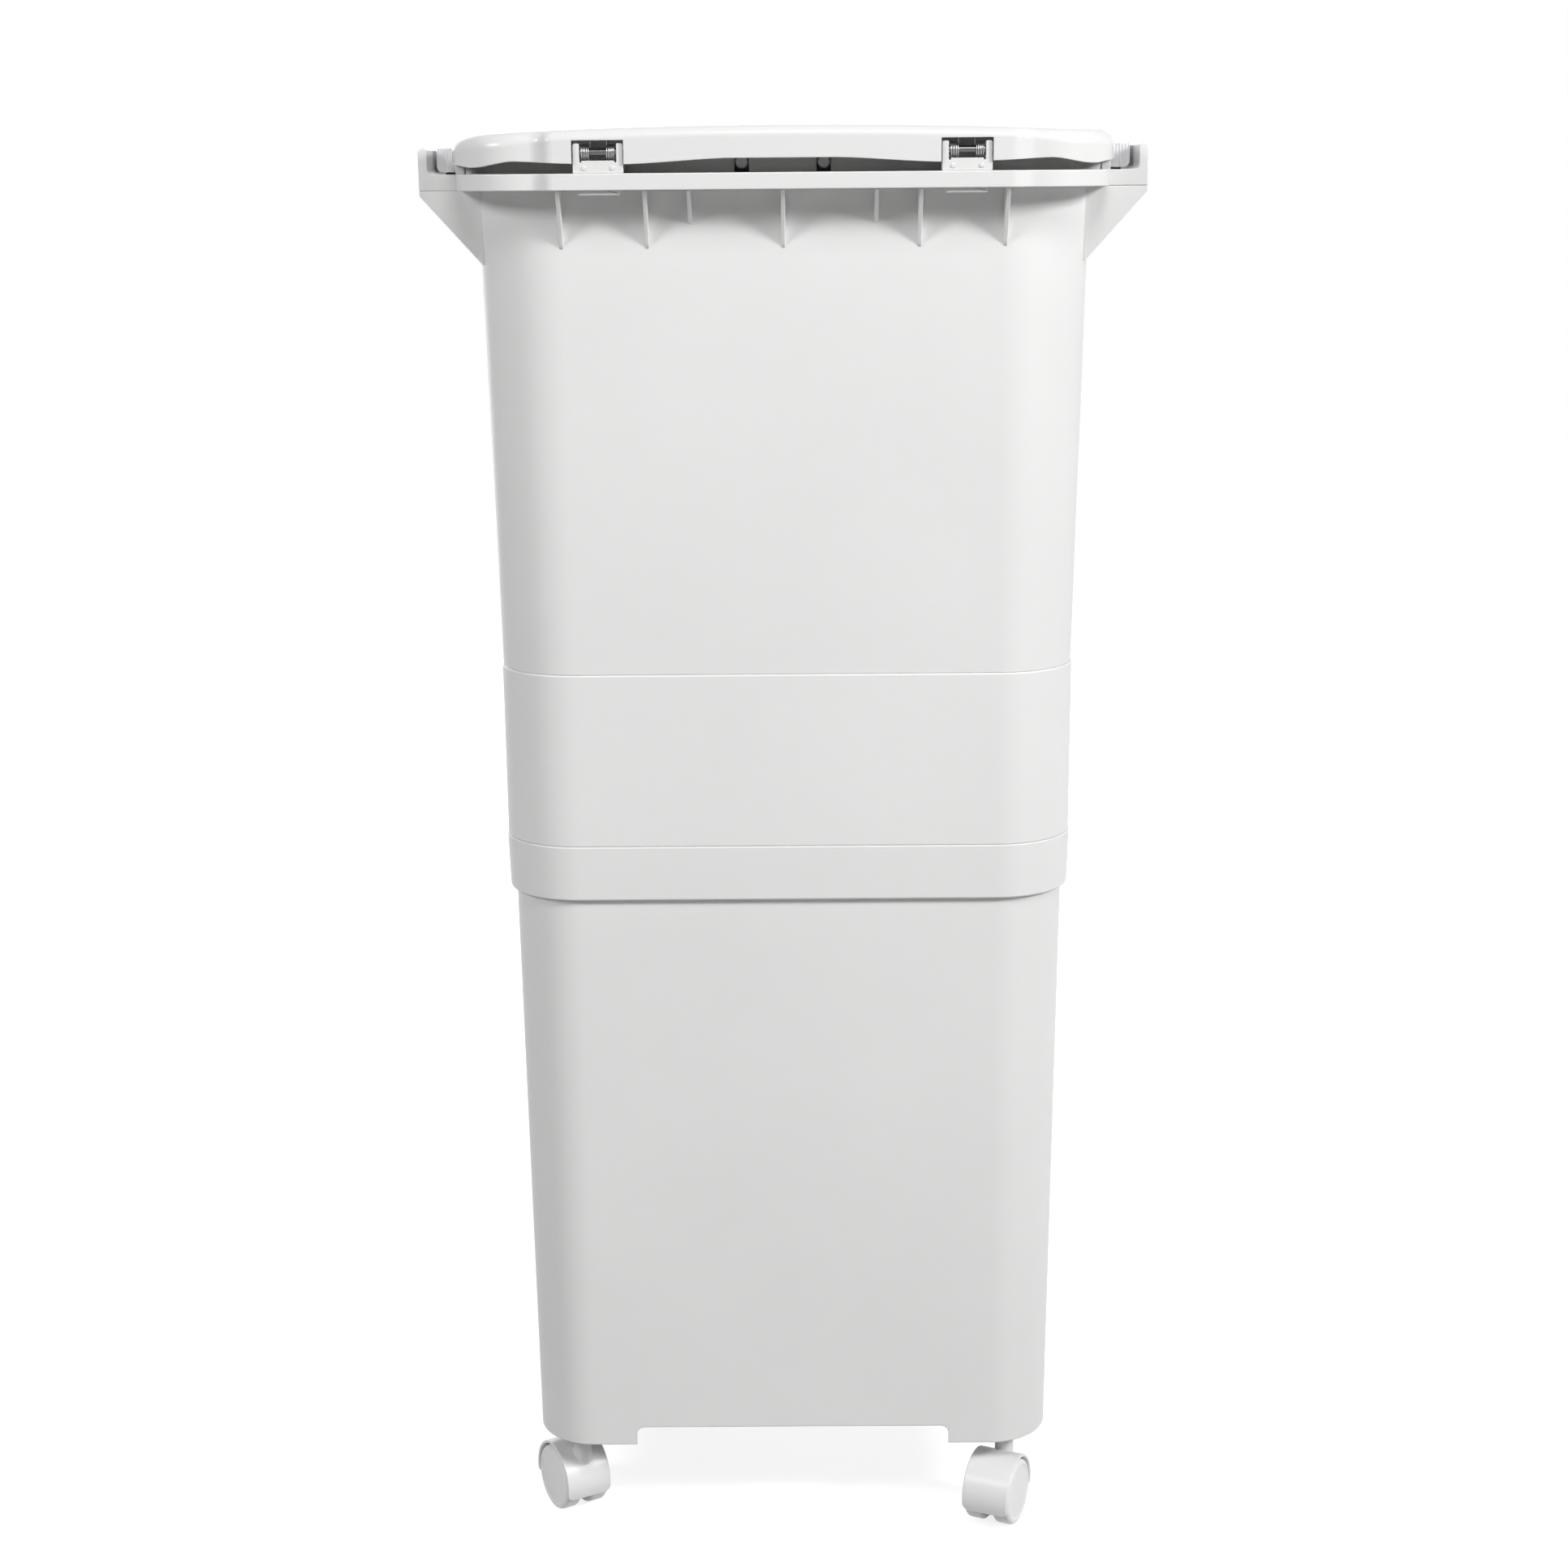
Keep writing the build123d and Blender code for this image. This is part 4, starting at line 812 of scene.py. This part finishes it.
def lid_surface():
    """Rows from the ceiling's middle out and down to the lip, up the outer wall, round the edge and back to
    the middle, each with its normals."""
    cuts = np.array(around(HINGE_X, HINGE_CUT_HALF))
    stations = np.concatenate([cuts - STEP, cuts + STEP, WAVE_STATIONS])
    points, outward = with_stations(rim_path(LID_HALF_WIDTH), np.append(stations, -stations), (0, 1))
    foot = lid_foot_line(points)
    edge = lid_edge_radius(points)
    rows, normals = [], []

    def add_row(flat, height, out, up):
        rows.append(np.column_stack([flat, height]))
        normals.append(np.column_stack([outward * out, np.full(len(points), up)]))

    def flat_row(share, drop, up):
        flat = (points - outward * edge[:, None]) * share
        add_row(flat, crown_over(flat[:, 0]) - drop, 0, up)

    def edge_row(bend, thickness, facing):
        radius = edge - thickness
        flat = points - outward * (edge - radius * np.cos(bend))[:, None]
        height = crown_over(flat[:, 0]) - edge + radius * np.sin(bend)
        add_row(flat, np.maximum(height, foot + LID_LIP), facing * np.cos(bend), facing * np.sin(bend))

    def lip_row(inset, bend, facing):
        flat = points - outward * inset
        add_row(flat, foot + LID_LIP * (1 - np.sin(bend)), facing * np.cos(bend), -np.sin(bend))

    for share in CROWN_SHARES:
        flat_row(share, LID_WALL, -1)
    for bend in EDGE_BENDS[::-1]:
        edge_row(bend, LID_WALL, -1)
    for bend in EDGE_BENDS[::2]:
        lip_row(LID_WALL - LID_LIP * (1 - np.cos(bend)), bend, -1)
    for bend in EDGE_BENDS[::-2]:
        lip_row(LID_LIP * (1 - np.cos(bend)), bend, 1)
    for bend in EDGE_BENDS:
        edge_row(bend, 0, 1)
    for share in CROWN_SHARES[::-1]:
        flat_row(share, 0, 1)
    return np.stack(rows, 1), np.stack(normals, 1)


lid_plastic = moulded_plastic("lid_plastic", RIM_GREY, roughness=0.24, grain=0.03)
lid_finish = (lid_plastic, "lid", "lid_plastic")
lid = make_piece("lid_shell", lid_surface(), *lid_finish)
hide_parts("lid")


# Hinge ears and front catch
# Ears inside the lid hold the ends of the hinge pins, and a ledge at its front is what the latch takes.
# They are part of the lid's moulding.
EAR = 0.0032
EAR_RADIUS = 0.005
EAR_POINTS = 17
CATCH_HALF = 0.008
CATCH_RISE = 0.0068
CATCH_THICKNESS = 0.0024
CATCH_END = -0.160
lid_joint = next(joint for joint in frame["joints"] if joint["name"] == "lid_hinge")
hinge_y, hinge_z = lid_joint["pos_m"][1:]


def ear_line(x):
    """Half circle under the pin's axis with a web up to the lid's ceiling."""
    angle = np.linspace(math.pi, 2 * math.pi, EAR_POINTS)
    arc = np.stack([hinge_y + EAR_RADIUS * np.cos(angle), hinge_z + EAR_RADIUS * np.sin(angle)], 1)
    ceiling = crown_over(x) - LID_WALL / 2
    rear = hinge_y + REAR_STEP - LID_WALL / 2
    arc[:, 0] = np.minimum(arc[:, 0], rear)
    return np.concatenate([arc, [(rear - REAR_EDGE / 2, ceiling), (arc[0][0], ceiling)]])


for hinge, side in SIDES.items():
    for ear, place in (("outer", HINGE_X + HINGE_CUT_HALF), ("inner", HINGE_X - HINGE_CUT_HALF - EAR)):
        span = mirrored((place, place + EAR), side)
        make_prism(f"ear_{hinge}_{ear}", ear_line(place), 0, ALONG_X, span, FINE_EDGE, *lid_finish)
catch_foot = frame_top + CATCH_RISE - CATCH_THICKNESS
catch_line = four_corners((block_front + LID_WALL / 2, CATCH_END), (catch_foot, catch_foot + CATCH_THICKNESS))
make_prism("lid_catch", catch_line, BLADE_EDGE, ALONG_X, around(0, CATCH_HALF), BLADE_EDGE, *lid_finish)


# Hinge brackets
# Each bracket is a forked plastic block snapped into the frame: two arms for the pin, a lip and two small
# pips behind, and a hook that shows under the rim. A steel pin goes through both arms. Its steel is painted
# near black as painted shade for the lid's shadow that it sits in.
BRACKET_HALF = 0.0134
BRACKET_ARM = 0.0036
BRACKET_BASE = 0.0056
BRACKET_RISE = 0.0155
BRACKET_ROUNDS = [0.0006, 0.0006, 0.0012, 0.0008, 0.0006, 0.0006, 0.0008, 0.0012]
BRACKET_REAR = 0.1685
BRACKET_DEPTH = 0.011
LIP_HALF = 0.00875
LIP_DEPTH = 0.0017
LIP_SUNK = 0.0006
LIP_RISE = 0.0066
HOOK_HALF = 0.013
HOOK_SLOPE = 0.002
HOOK_DROP = 0.0026
HOOK_DEPTH = (0.1595, 0.1672)
HOOK_ENDS = (0.0005, 0.0008)
PIP_PLACE = (0.0076, 0.0027)
PIP_RADIUS = 0.0013
PIP_REACH = (-0.0004, 0.0006)
PIP_ROUNDS = [0, 0.0002, 0.0005, 0]
PIN_PAINTED_SHADE = (0.14, 0.14, 0.145)
fitting_finish = (rim_plastic, "upper", "fitting_plastic")
arm_inner = BRACKET_HALF - BRACKET_ARM
fork = [(BRACKET_HALF, 0), (BRACKET_HALF, BRACKET_RISE), (arm_inner, BRACKET_RISE), (arm_inner, BRACKET_BASE)]
hook = [(HOOK_HALF, plate_foot), (HOOK_HALF - HOOK_SLOPE, upper_top - HOOK_DROP)]


def rearwards(surface):
    """A surface about the upright axis laid down so that its top points to the rear."""
    return [np.stack([part[..., 0], part[..., 2], -part[..., 1]], -1) for part in surface]


pip_line = rounded_line(four_corners((AXIS_GAP - PIP_RADIUS, 0), PIP_REACH), PIP_ROUNDS)
pip = rearwards(turned(pip_line, PIP_RADIUS, steps=24))
lip_heights = (frame_top + BRACKET_BASE - LIP_SUNK, frame_top + LIP_RISE)
lip_line = four_corners((BRACKET_REAR - LIP_DEPTH, BRACKET_REAR), lip_heights)
depth = (BRACKET_REAR - BRACKET_DEPTH, BRACKET_REAR)
for hinge, x_side in SIDES.items():
    x = x_side * HINGE_X
    line = np.array(symmetric(fork)) + (x, frame_top)
    name = f"bracket_{hinge}"
    bracket = make_prism(name, line, BRACKET_ROUNDS, ALONG_Y, depth, BLADE_EDGE, *fitting_finish)
    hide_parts(f"hinge_bracket_{hinge}")
    line = np.array(symmetric(hook)) + (x, 0)
    make_prism(f"bracket_hook_{hinge}", line, SOFT_EDGE, ALONG_Y, HOOK_DEPTH, HOOK_ENDS, *fitting_finish)
    span = around(x, LIP_HALF)
    make_prism(f"bracket_lip_{hinge}", lip_line, FINE_EDGE, ALONG_X, span, FINE_EDGE, *fitting_finish)
    for side_name, side in SIDES.items():
        seat = (x + side * PIP_PLACE[0], BRACKET_REAR, frame_top + PIP_PLACE[1])
        make_piece(f"bracket_pip_{hinge}_{side_name}", placed(pip, seat), *fitting_finish)
# The hinge pins' near-black steel colour is painted shade for the shadow under the lid, not a real finish.
dress(drawn_steel("pin_steel_painted_shade", PIN_PAINTED_SHADE), "hinge_pin_left", "hinge_pin_right")


# Hinge springs
# Two torsion springs of bright steel wire ride on each pin and lift the lid when the latch lets go.
# One leg stands on the bracket, the other bears up against the lid.
WIRE = 0.0006
WIRE_SIDES = 10
TURN_STEPS = 48
COIL_RADIUS = 0.00395
COIL_PITCH = 0.00092
COIL_TURNS = 5
COIL_START = 0.0090
LEG_GAP = 0.0003
LEG_POINTS = (8, 12)
SPRING_BRIGHT = (0.45, 0.45, 0.45)
spring_steel = drawn_steel("spring_steel", SPRING_BRIGHT)


def wire_tube(line, radius, reference):
    """Round wire along a line: a circle in the plane of two directions square to it, the first nearest to one
    axis. It is left without normals of its own."""
    along = np.gradient(line, axis=0)
    along /= np.linalg.norm(along, axis=1)[:, None]
    first = reference - along * (along @ reference)[:, None]
    first /= np.linalg.norm(first, axis=1)[:, None]
    second = np.cross(along, first)
    angle = np.linspace(0, 2 * math.pi, WIRE_SIDES, endpoint=False)
    ring = np.cos(angle)[:, None, None] * first + np.sin(angle)[:, None, None] * second
    return line[None] + radius * ring, None


def torsion_line(x, side):
    """A leg up from the bracket, whole turns about the pin that step inwards, and a leg up to the lid."""
    turn = np.linspace(0, COIL_TURNS, TURN_STEPS * COIL_TURNS + 1)
    angle = math.pi - 2 * math.pi * turn
    coil = [x + side * (COIL_START - COIL_PITCH * turn), hinge_y + COIL_RADIUS * np.cos(angle)]
    coil = np.column_stack([*coil, hinge_z + COIL_RADIUS * np.sin(angle)])
    seat = frame_top + BRACKET_BASE + LEG_GAP
    ceiling = crown_over(x) - LID_WALL - 2 * LEG_GAP
    low_leg = np.linspace((*coil[0, :2], seat), coil[0], LEG_POINTS[0])[:-1]
    high_leg = np.linspace(coil[-1], (*coil[-1, :2], ceiling), LEG_POINTS[1])[1:]
    return np.concatenate([low_leg, coil, high_leg])


for hinge, x_side in SIDES.items():
    x = x_side * HINGE_X
    for spring, side in (("outer", x_side), ("inner", -x_side)):
        wire = wire_tube(torsion_line(x, side), WIRE / 2, np.array([1.0, 0, 0]))
        wound = make_piece(f"spring_{hinge}_{spring}", wire, spring_steel, None, "steel")
        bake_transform(wound)
        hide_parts(f"hinge_springs_{hinge}")


# Bag pegs
# Two round pegs reach out through the upstand's notches from small plates inside it and hold a bag's edge.
# Each is a separate moulding with a rounded tip.
PEG_RADIUS = 0.0033
PEG_REACH = (-0.001, 0.005)
PEG_ROUNDS = [0, 0.0003, 0.0008, 0]
PEG_PLATE = (0.012, 0.002, 0.010)
PEG_PLATE_CORNER = 0.001
peg_wall = BODY_HALF[1] + UPSTAND_OFFSET - WALL
peg_line = rounded_line(four_corners((AXIS_GAP - PEG_RADIUS, 0), PEG_REACH), PEG_ROUNDS, steps=6)
peg = rearwards(turned(peg_line, PEG_RADIUS))
width, thickness, height = PEG_PLATE
for side_name, side in SIDES.items():
    x, z = side * PEG_X, frame_top + PEG_RISE
    held = make_piece(f"bag_peg_{side_name}", placed(peg, (x, peg_wall, z)), *fitting_finish)
    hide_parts("bag_pegs")
    line, span = four_corners(around(x, width / 2), around(z, height / 2)), (peg_wall - thickness, peg_wall)
    name = f"bag_peg_plate_{side_name}"
    make_prism(name, line, PEG_PLATE_CORNER, ALONG_Y, span, (BLADE_EDGE, 0), *fitting_finish)


# Latch button and its spring
# The button's cap shows in the housing's window and its nose reaches up to the lid's catch.
# A short coil of steel wire behind it pushes it out again.
LATCH_COIL_RADIUS = 0.0036
LATCH_WIRE = 0.0008
LATCH_TURNS = 5
dress(rim_plastic, "latch_button")


def latch_spring_line():
    """A helix along Y between the button and the wall of the upper bin."""
    low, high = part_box("button_spring")
    x, _, z = middle_of("button_spring")
    turn = np.linspace(0, LATCH_TURNS, TURN_STEPS * LATCH_TURNS + 1)
    angle = 2 * math.pi * turn
    along = low.y + LATCH_WIRE / 2 + (high.y - low.y - LATCH_WIRE) * turn / LATCH_TURNS
    return np.stack([x + LATCH_COIL_RADIUS * np.cos(angle), along, z + LATCH_COIL_RADIUS * np.sin(angle)], 1)


wire = wire_tube(latch_spring_line(), LATCH_WIRE / 2, np.array([0, 1.0, 0]))
latch_spring = make_piece("latch_spring", wire, spring_steel, "upper", "steel")
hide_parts("button_spring")
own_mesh(latch_spring)


# Casters
# Twin-wheel stem casters in white plastic. A curved hood with a round neck turns on a steel stem, and two
# wheels run on one steel axle, each side of a web inside the hood.
HOOD_WHITE = (0.86, 0.86, 0.86)
WHEEL_WHITE = (0.90, 0.90, 0.90)
WHEEL_RADIUS = 0.020
WHEEL_FACES = (0.0036, 0.0148)
WHEEL_RIM = (0.0167, 0.0160)
WHEEL_DISH = 0.0005
WHEEL_ROUNDS = [0, 0.002, 0.0026, 0.0005, 0.0008, 0]
HOOD_RADII = (0.0212, 0.0230)
HOOD_HALF = 0.0145
HOOD_CORNER = 0.004
HOOD_EDGE = 0.0008
HOOD_ENDS = (math.radians(-17), math.radians(197))
HOOD_POINTS = (9, 57)
WEB_RADII = (0.0026, 0.0221)
WEB_HALF = 0.0025
WEB_CORNER = 0.001
NECK_RADIUS = 0.00575
NECK_FOOT = 0.020
NECK_ROUNDS = [0, 0.00475, 0.0006, 0]
NECK_ARC = 10
NECK_ROWS = 12
hood_plastic = moulded_plastic("hood_plastic", HOOD_WHITE, roughness=0.30, grain=0.03)
wheel_plastic = moulded_plastic("wheel_plastic", WHEEL_WHITE, roughness=0.42, grain=0.08)


def wheel_surface():
    """Half section of a wheel turned about its axle: inner face, round tread, raised rim and dished face."""
    inner, outer = WHEEL_FACES
    floor = outer - WHEEL_DISH
    corners = [(AXIS_GAP, inner), (WHEEL_RADIUS, inner), (WHEEL_RADIUS, outer), (WHEEL_RIM[0], outer)]
    line, normals = rounded_line(corners + [(WHEEL_RIM[1], floor), (AXIS_GAP, floor)], WHEEL_ROUNDS, steps=8)
    return turned((line - (WHEEL_RADIUS, 0), normals), WHEEL_RADIUS, steps=72)


def hood_strip(half, radii, corner, rounding):
    """A strip across the axle carried round it from the hood's trailing edge, over the top, to its low edge
    under the neck. Its width draws in along a quarter circle towards each end."""
    outer = radii[1]
    span = HOOD_ENDS[1] - HOOD_ENDS[0]
    near = corner / outer * (1 - np.cos(np.linspace(0, math.pi / 2, HOOD_POINTS[0])))
    middle = np.linspace(near[-1], span - near[-1], HOOD_POINTS[1])
    angle = np.concatenate([near[:-1], middle, (span - near[:-1])[::-1]])
    reach = np.minimum(np.minimum(angle, span - angle) * outer, corner)
    width = half - corner + np.sqrt(np.maximum(corner**2 - (corner - reach) ** 2, 0))
    section = four_corners(around(0, half), radii)
    line, bends = rounded_line(section, [rounding] * 4, closed=True, steps=6)
    forward, up = np.cos(HOOD_ENDS[0] + angle), np.sin(HOOD_ENDS[0] + angle)
    across = line[:, :1] * width / half
    points = np.stack([line[:, 1:] * forward, across, line[:, 1:] * up], -1)
    flat = np.broadcast_to(bends[:, :1], across.shape)
    return points, np.stack([bends[:, 1:] * forward, flat, bends[:, 1:] * up], -1)


def neck_surface(trail, top):
    """The neck turned about the stem with a round lower end, and with more rows up its straight side. What
    falls inside the hood is drawn out to it, along the line from the axle."""
    corners = [(AXIS_GAP, NECK_FOOT), (NECK_RADIUS, NECK_FOOT), (NECK_RADIUS, top), (STEM_RADIUS, top)]
    line, bends = rounded_line(corners, NECK_ROUNDS, steps=NECK_ARC)
    side = NECK_ARC + 2
    rises = np.linspace(line[side - 1, 1], line[side, 1], NECK_ROWS + 2)[1:-1]
    line = np.insert(line, side, np.column_stack([np.full(NECK_ROWS, NECK_RADIUS), rises]), axis=0)
    bends = np.insert(bends, side, [[1, 0]] * NECK_ROWS, axis=0)
    points, normals = turned((line - (NECK_RADIUS, 0), bends), NECK_RADIUS)
    axle = np.array([trail, WHEEL_RADIUS])
    away = points[..., [0, 2]] - axle
    distance = np.linalg.norm(away, axis=-1)
    away *= (np.maximum(distance, np.mean(HOOD_RADII)) / distance)[..., None]
    points[..., [0, 2]] = away + axle
    return points, normals


wheel = rearwards(wheel_surface())
cover = hood_strip(HOOD_HALF, HOOD_RADII, HOOD_CORNER, HOOD_EDGE)
web = hood_strip(WEB_HALF, WEB_RADII, WEB_CORNER, BLADE_EDGE)
for caster in CASTERS:
    body = f"caster_{caster}"
    stem = middle_of(f"{body}_stem") * (1, 1, 0)
    axle = middle_of(f"{body}_axle") * (1, 1, 0)
    trail = np.linalg.norm(axle - stem)
    forward_x, forward_y, _ = (axle - stem) / trail
    axle[2] = WHEEL_RADIUS
    facing = np.array([[forward_x, -forward_y, 0], [forward_y, forward_x, 0], [0, 0, 1]])
    neck = neck_surface(trail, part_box(f"{body}_hood")[1].z)
    shapes = {"hood": (cover, axle, True), "web": (web, axle, True), "neck": (neck, stem, False)}
    for part, (surface, place, flip) in shapes.items():
        faces, surface = closed_grid(surface[0], flip=flip), placed(surface, place, facing)
        shown = make_piece(f"{part}_{caster}", surface, hood_plastic, body, "caster_plastic", faces)
        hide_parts(f"{body}_hood")
    for side, spin in (("left", 1), ("right", -1)):
        surface = placed(wheel, axle, facing @ np.diag([spin, spin, 1]))
        name = f"wheel_{caster}_{side}"
        shown = make_piece(name, surface, wheel_plastic, name, "wheel_plastic")
        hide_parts(f"{body}_wheel_{side}")
    dress(steel, f"{body}_stem", f"{body}_axle")


# Stage
# A plain white floor and a white surround, with soft lamps: one high on each side of the camera, stronger at
# the right of the picture, one overhead, and one on the far side for the front.
FOCAL_PIXELS = 3200.0
PICTURE_PIXELS = 1932
SENSOR = 36.0
CAMERA_PLACE = (-0.0061, 1.5812, 0.8164)
CAMERA_PITCH = 13.398
CAMERA_YAW = 0.324
CAMERA_ROLL = -0.47
SURROUND = 0.06
FLOOR_HALF = 6
FLOOR_GLOW = (0.8, 1.0)
FLOOR_GLOW_REACH = (0.3, 1.1)
FLOOR_PAPER = (0.45, 0.45, 0.45, 1)
PAPER_ROUGHNESS = 0.9
WHITE = (1, 1, 1, 1)
LAMP_AIM = (0.0, 0.0, 0.45)
LAMPS = {
    "right_softbox": ((-1.9, 1.35, 1.7), 0.5, 45.0),
    "left_softbox": ((1.6, 1.4, 1.7), 0.5, 19.5),
    "overhead": ((-0.3, 1.7, 2.4), 0.8, 18.0),
    "front_softbox": ((0.6, -2.2, 1.2), 2.2, 38.0),
}


def sight_rays(holder):
    """1 for rays that show the background, straight, in a gloss or through glass; 0 for diffuse light."""
    rays = wire_up(holder, "ShaderNodeLightPath").outputs
    sight = rays["Is Camera Ray"]
    for other in ("Is Glossy Ray", "Is Transmission Ray"):
        sight = wire_up(holder, "ShaderNodeMath", {0: sight, 1: rays[other]}, operation="MAXIMUM").outputs[0]
    return sight


def white_paper(name):
    """Paper that keeps the shadow: what the camera or a gloss sees is the lit sheet and a glow, which grows
    to full white away from the object."""
    material, shader, place = new_material(name)
    fill(material, shader, {"Base Color": FLOOR_PAPER, "Roughness": PAPER_ROUGHNESS})
    away = wire_up(material, "ShaderNodeVectorMath", {0: place}, operation="LENGTH").outputs["Value"]
    whiter = ranged(material, away, *FLOOR_GLOW_REACH, *FLOOR_GLOW)
    glow = wire_up(material, "ShaderNodeEmission", {"Color": WHITE, "Strength": whiter}).outputs[0]
    lit = shader.outputs[0]
    glowing = wire_up(material, "ShaderNodeAddShader", {0: lit, 1: glow}).outputs[0]
    seen = wire_up(material, "ShaderNodeMixShader", {0: sight_rays(material), 1: lit, 2: glowing}).outputs[0]
    fill(material, material.node_tree.nodes["Material Output"], {"Surface": seen})
    return material


floor_mesh = bpy.data.meshes.new("floor")
corners = [(x, y, 0) for x, y in four_corners(around(0, FLOOR_HALF), around(0, FLOOR_HALF))]
floor_mesh.from_pydata(corners, [], [(0, 1, 2, 3)])
floor_mesh.materials.append(white_paper("floor_paper"))
floor = put_in("floor", floor_mesh)

world = bpy.data.worlds.new("studio")
bpy.context.scene.world = world
world.use_nodes = True
seen_white = ranged(world, sight_rays(world), 0, 1, SURROUND, 1)
fill(world, world.node_tree.nodes["Background"], {"Color": WHITE, "Strength": seen_white})

for lamp_name, (place, width, power) in LAMPS.items():
    light = bpy.data.lights.new(lamp_name, "AREA")
    light.size, light.energy = width, power
    lamp = put_in(lamp_name, light)
    lamp.location = place
    towards = mathutils.Vector(np.subtract(LAMP_AIM, place))
    lamp.rotation_euler = towards.to_track_quat("-Z", "Y").to_euler()

lens = bpy.data.cameras.new("camera")
lens.sensor_width = SENSOR
lens.lens = SENSOR * FOCAL_PIXELS / PICTURE_PIXELS
camera = put_in("camera", lens)
turned_to = mathutils.Matrix.Rotation(math.radians(180 + CAMERA_YAW), 4, "Z")
turned_to @= mathutils.Matrix.Rotation(math.radians(90 - CAMERA_PITCH), 4, "X")
turned_to @= mathutils.Matrix.Rotation(math.radians(CAMERA_ROLL), 4, "Z")
camera.matrix_world = mathutils.Matrix.Translation(CAMERA_PLACE) @ turned_to
bpy.context.scene.camera = camera
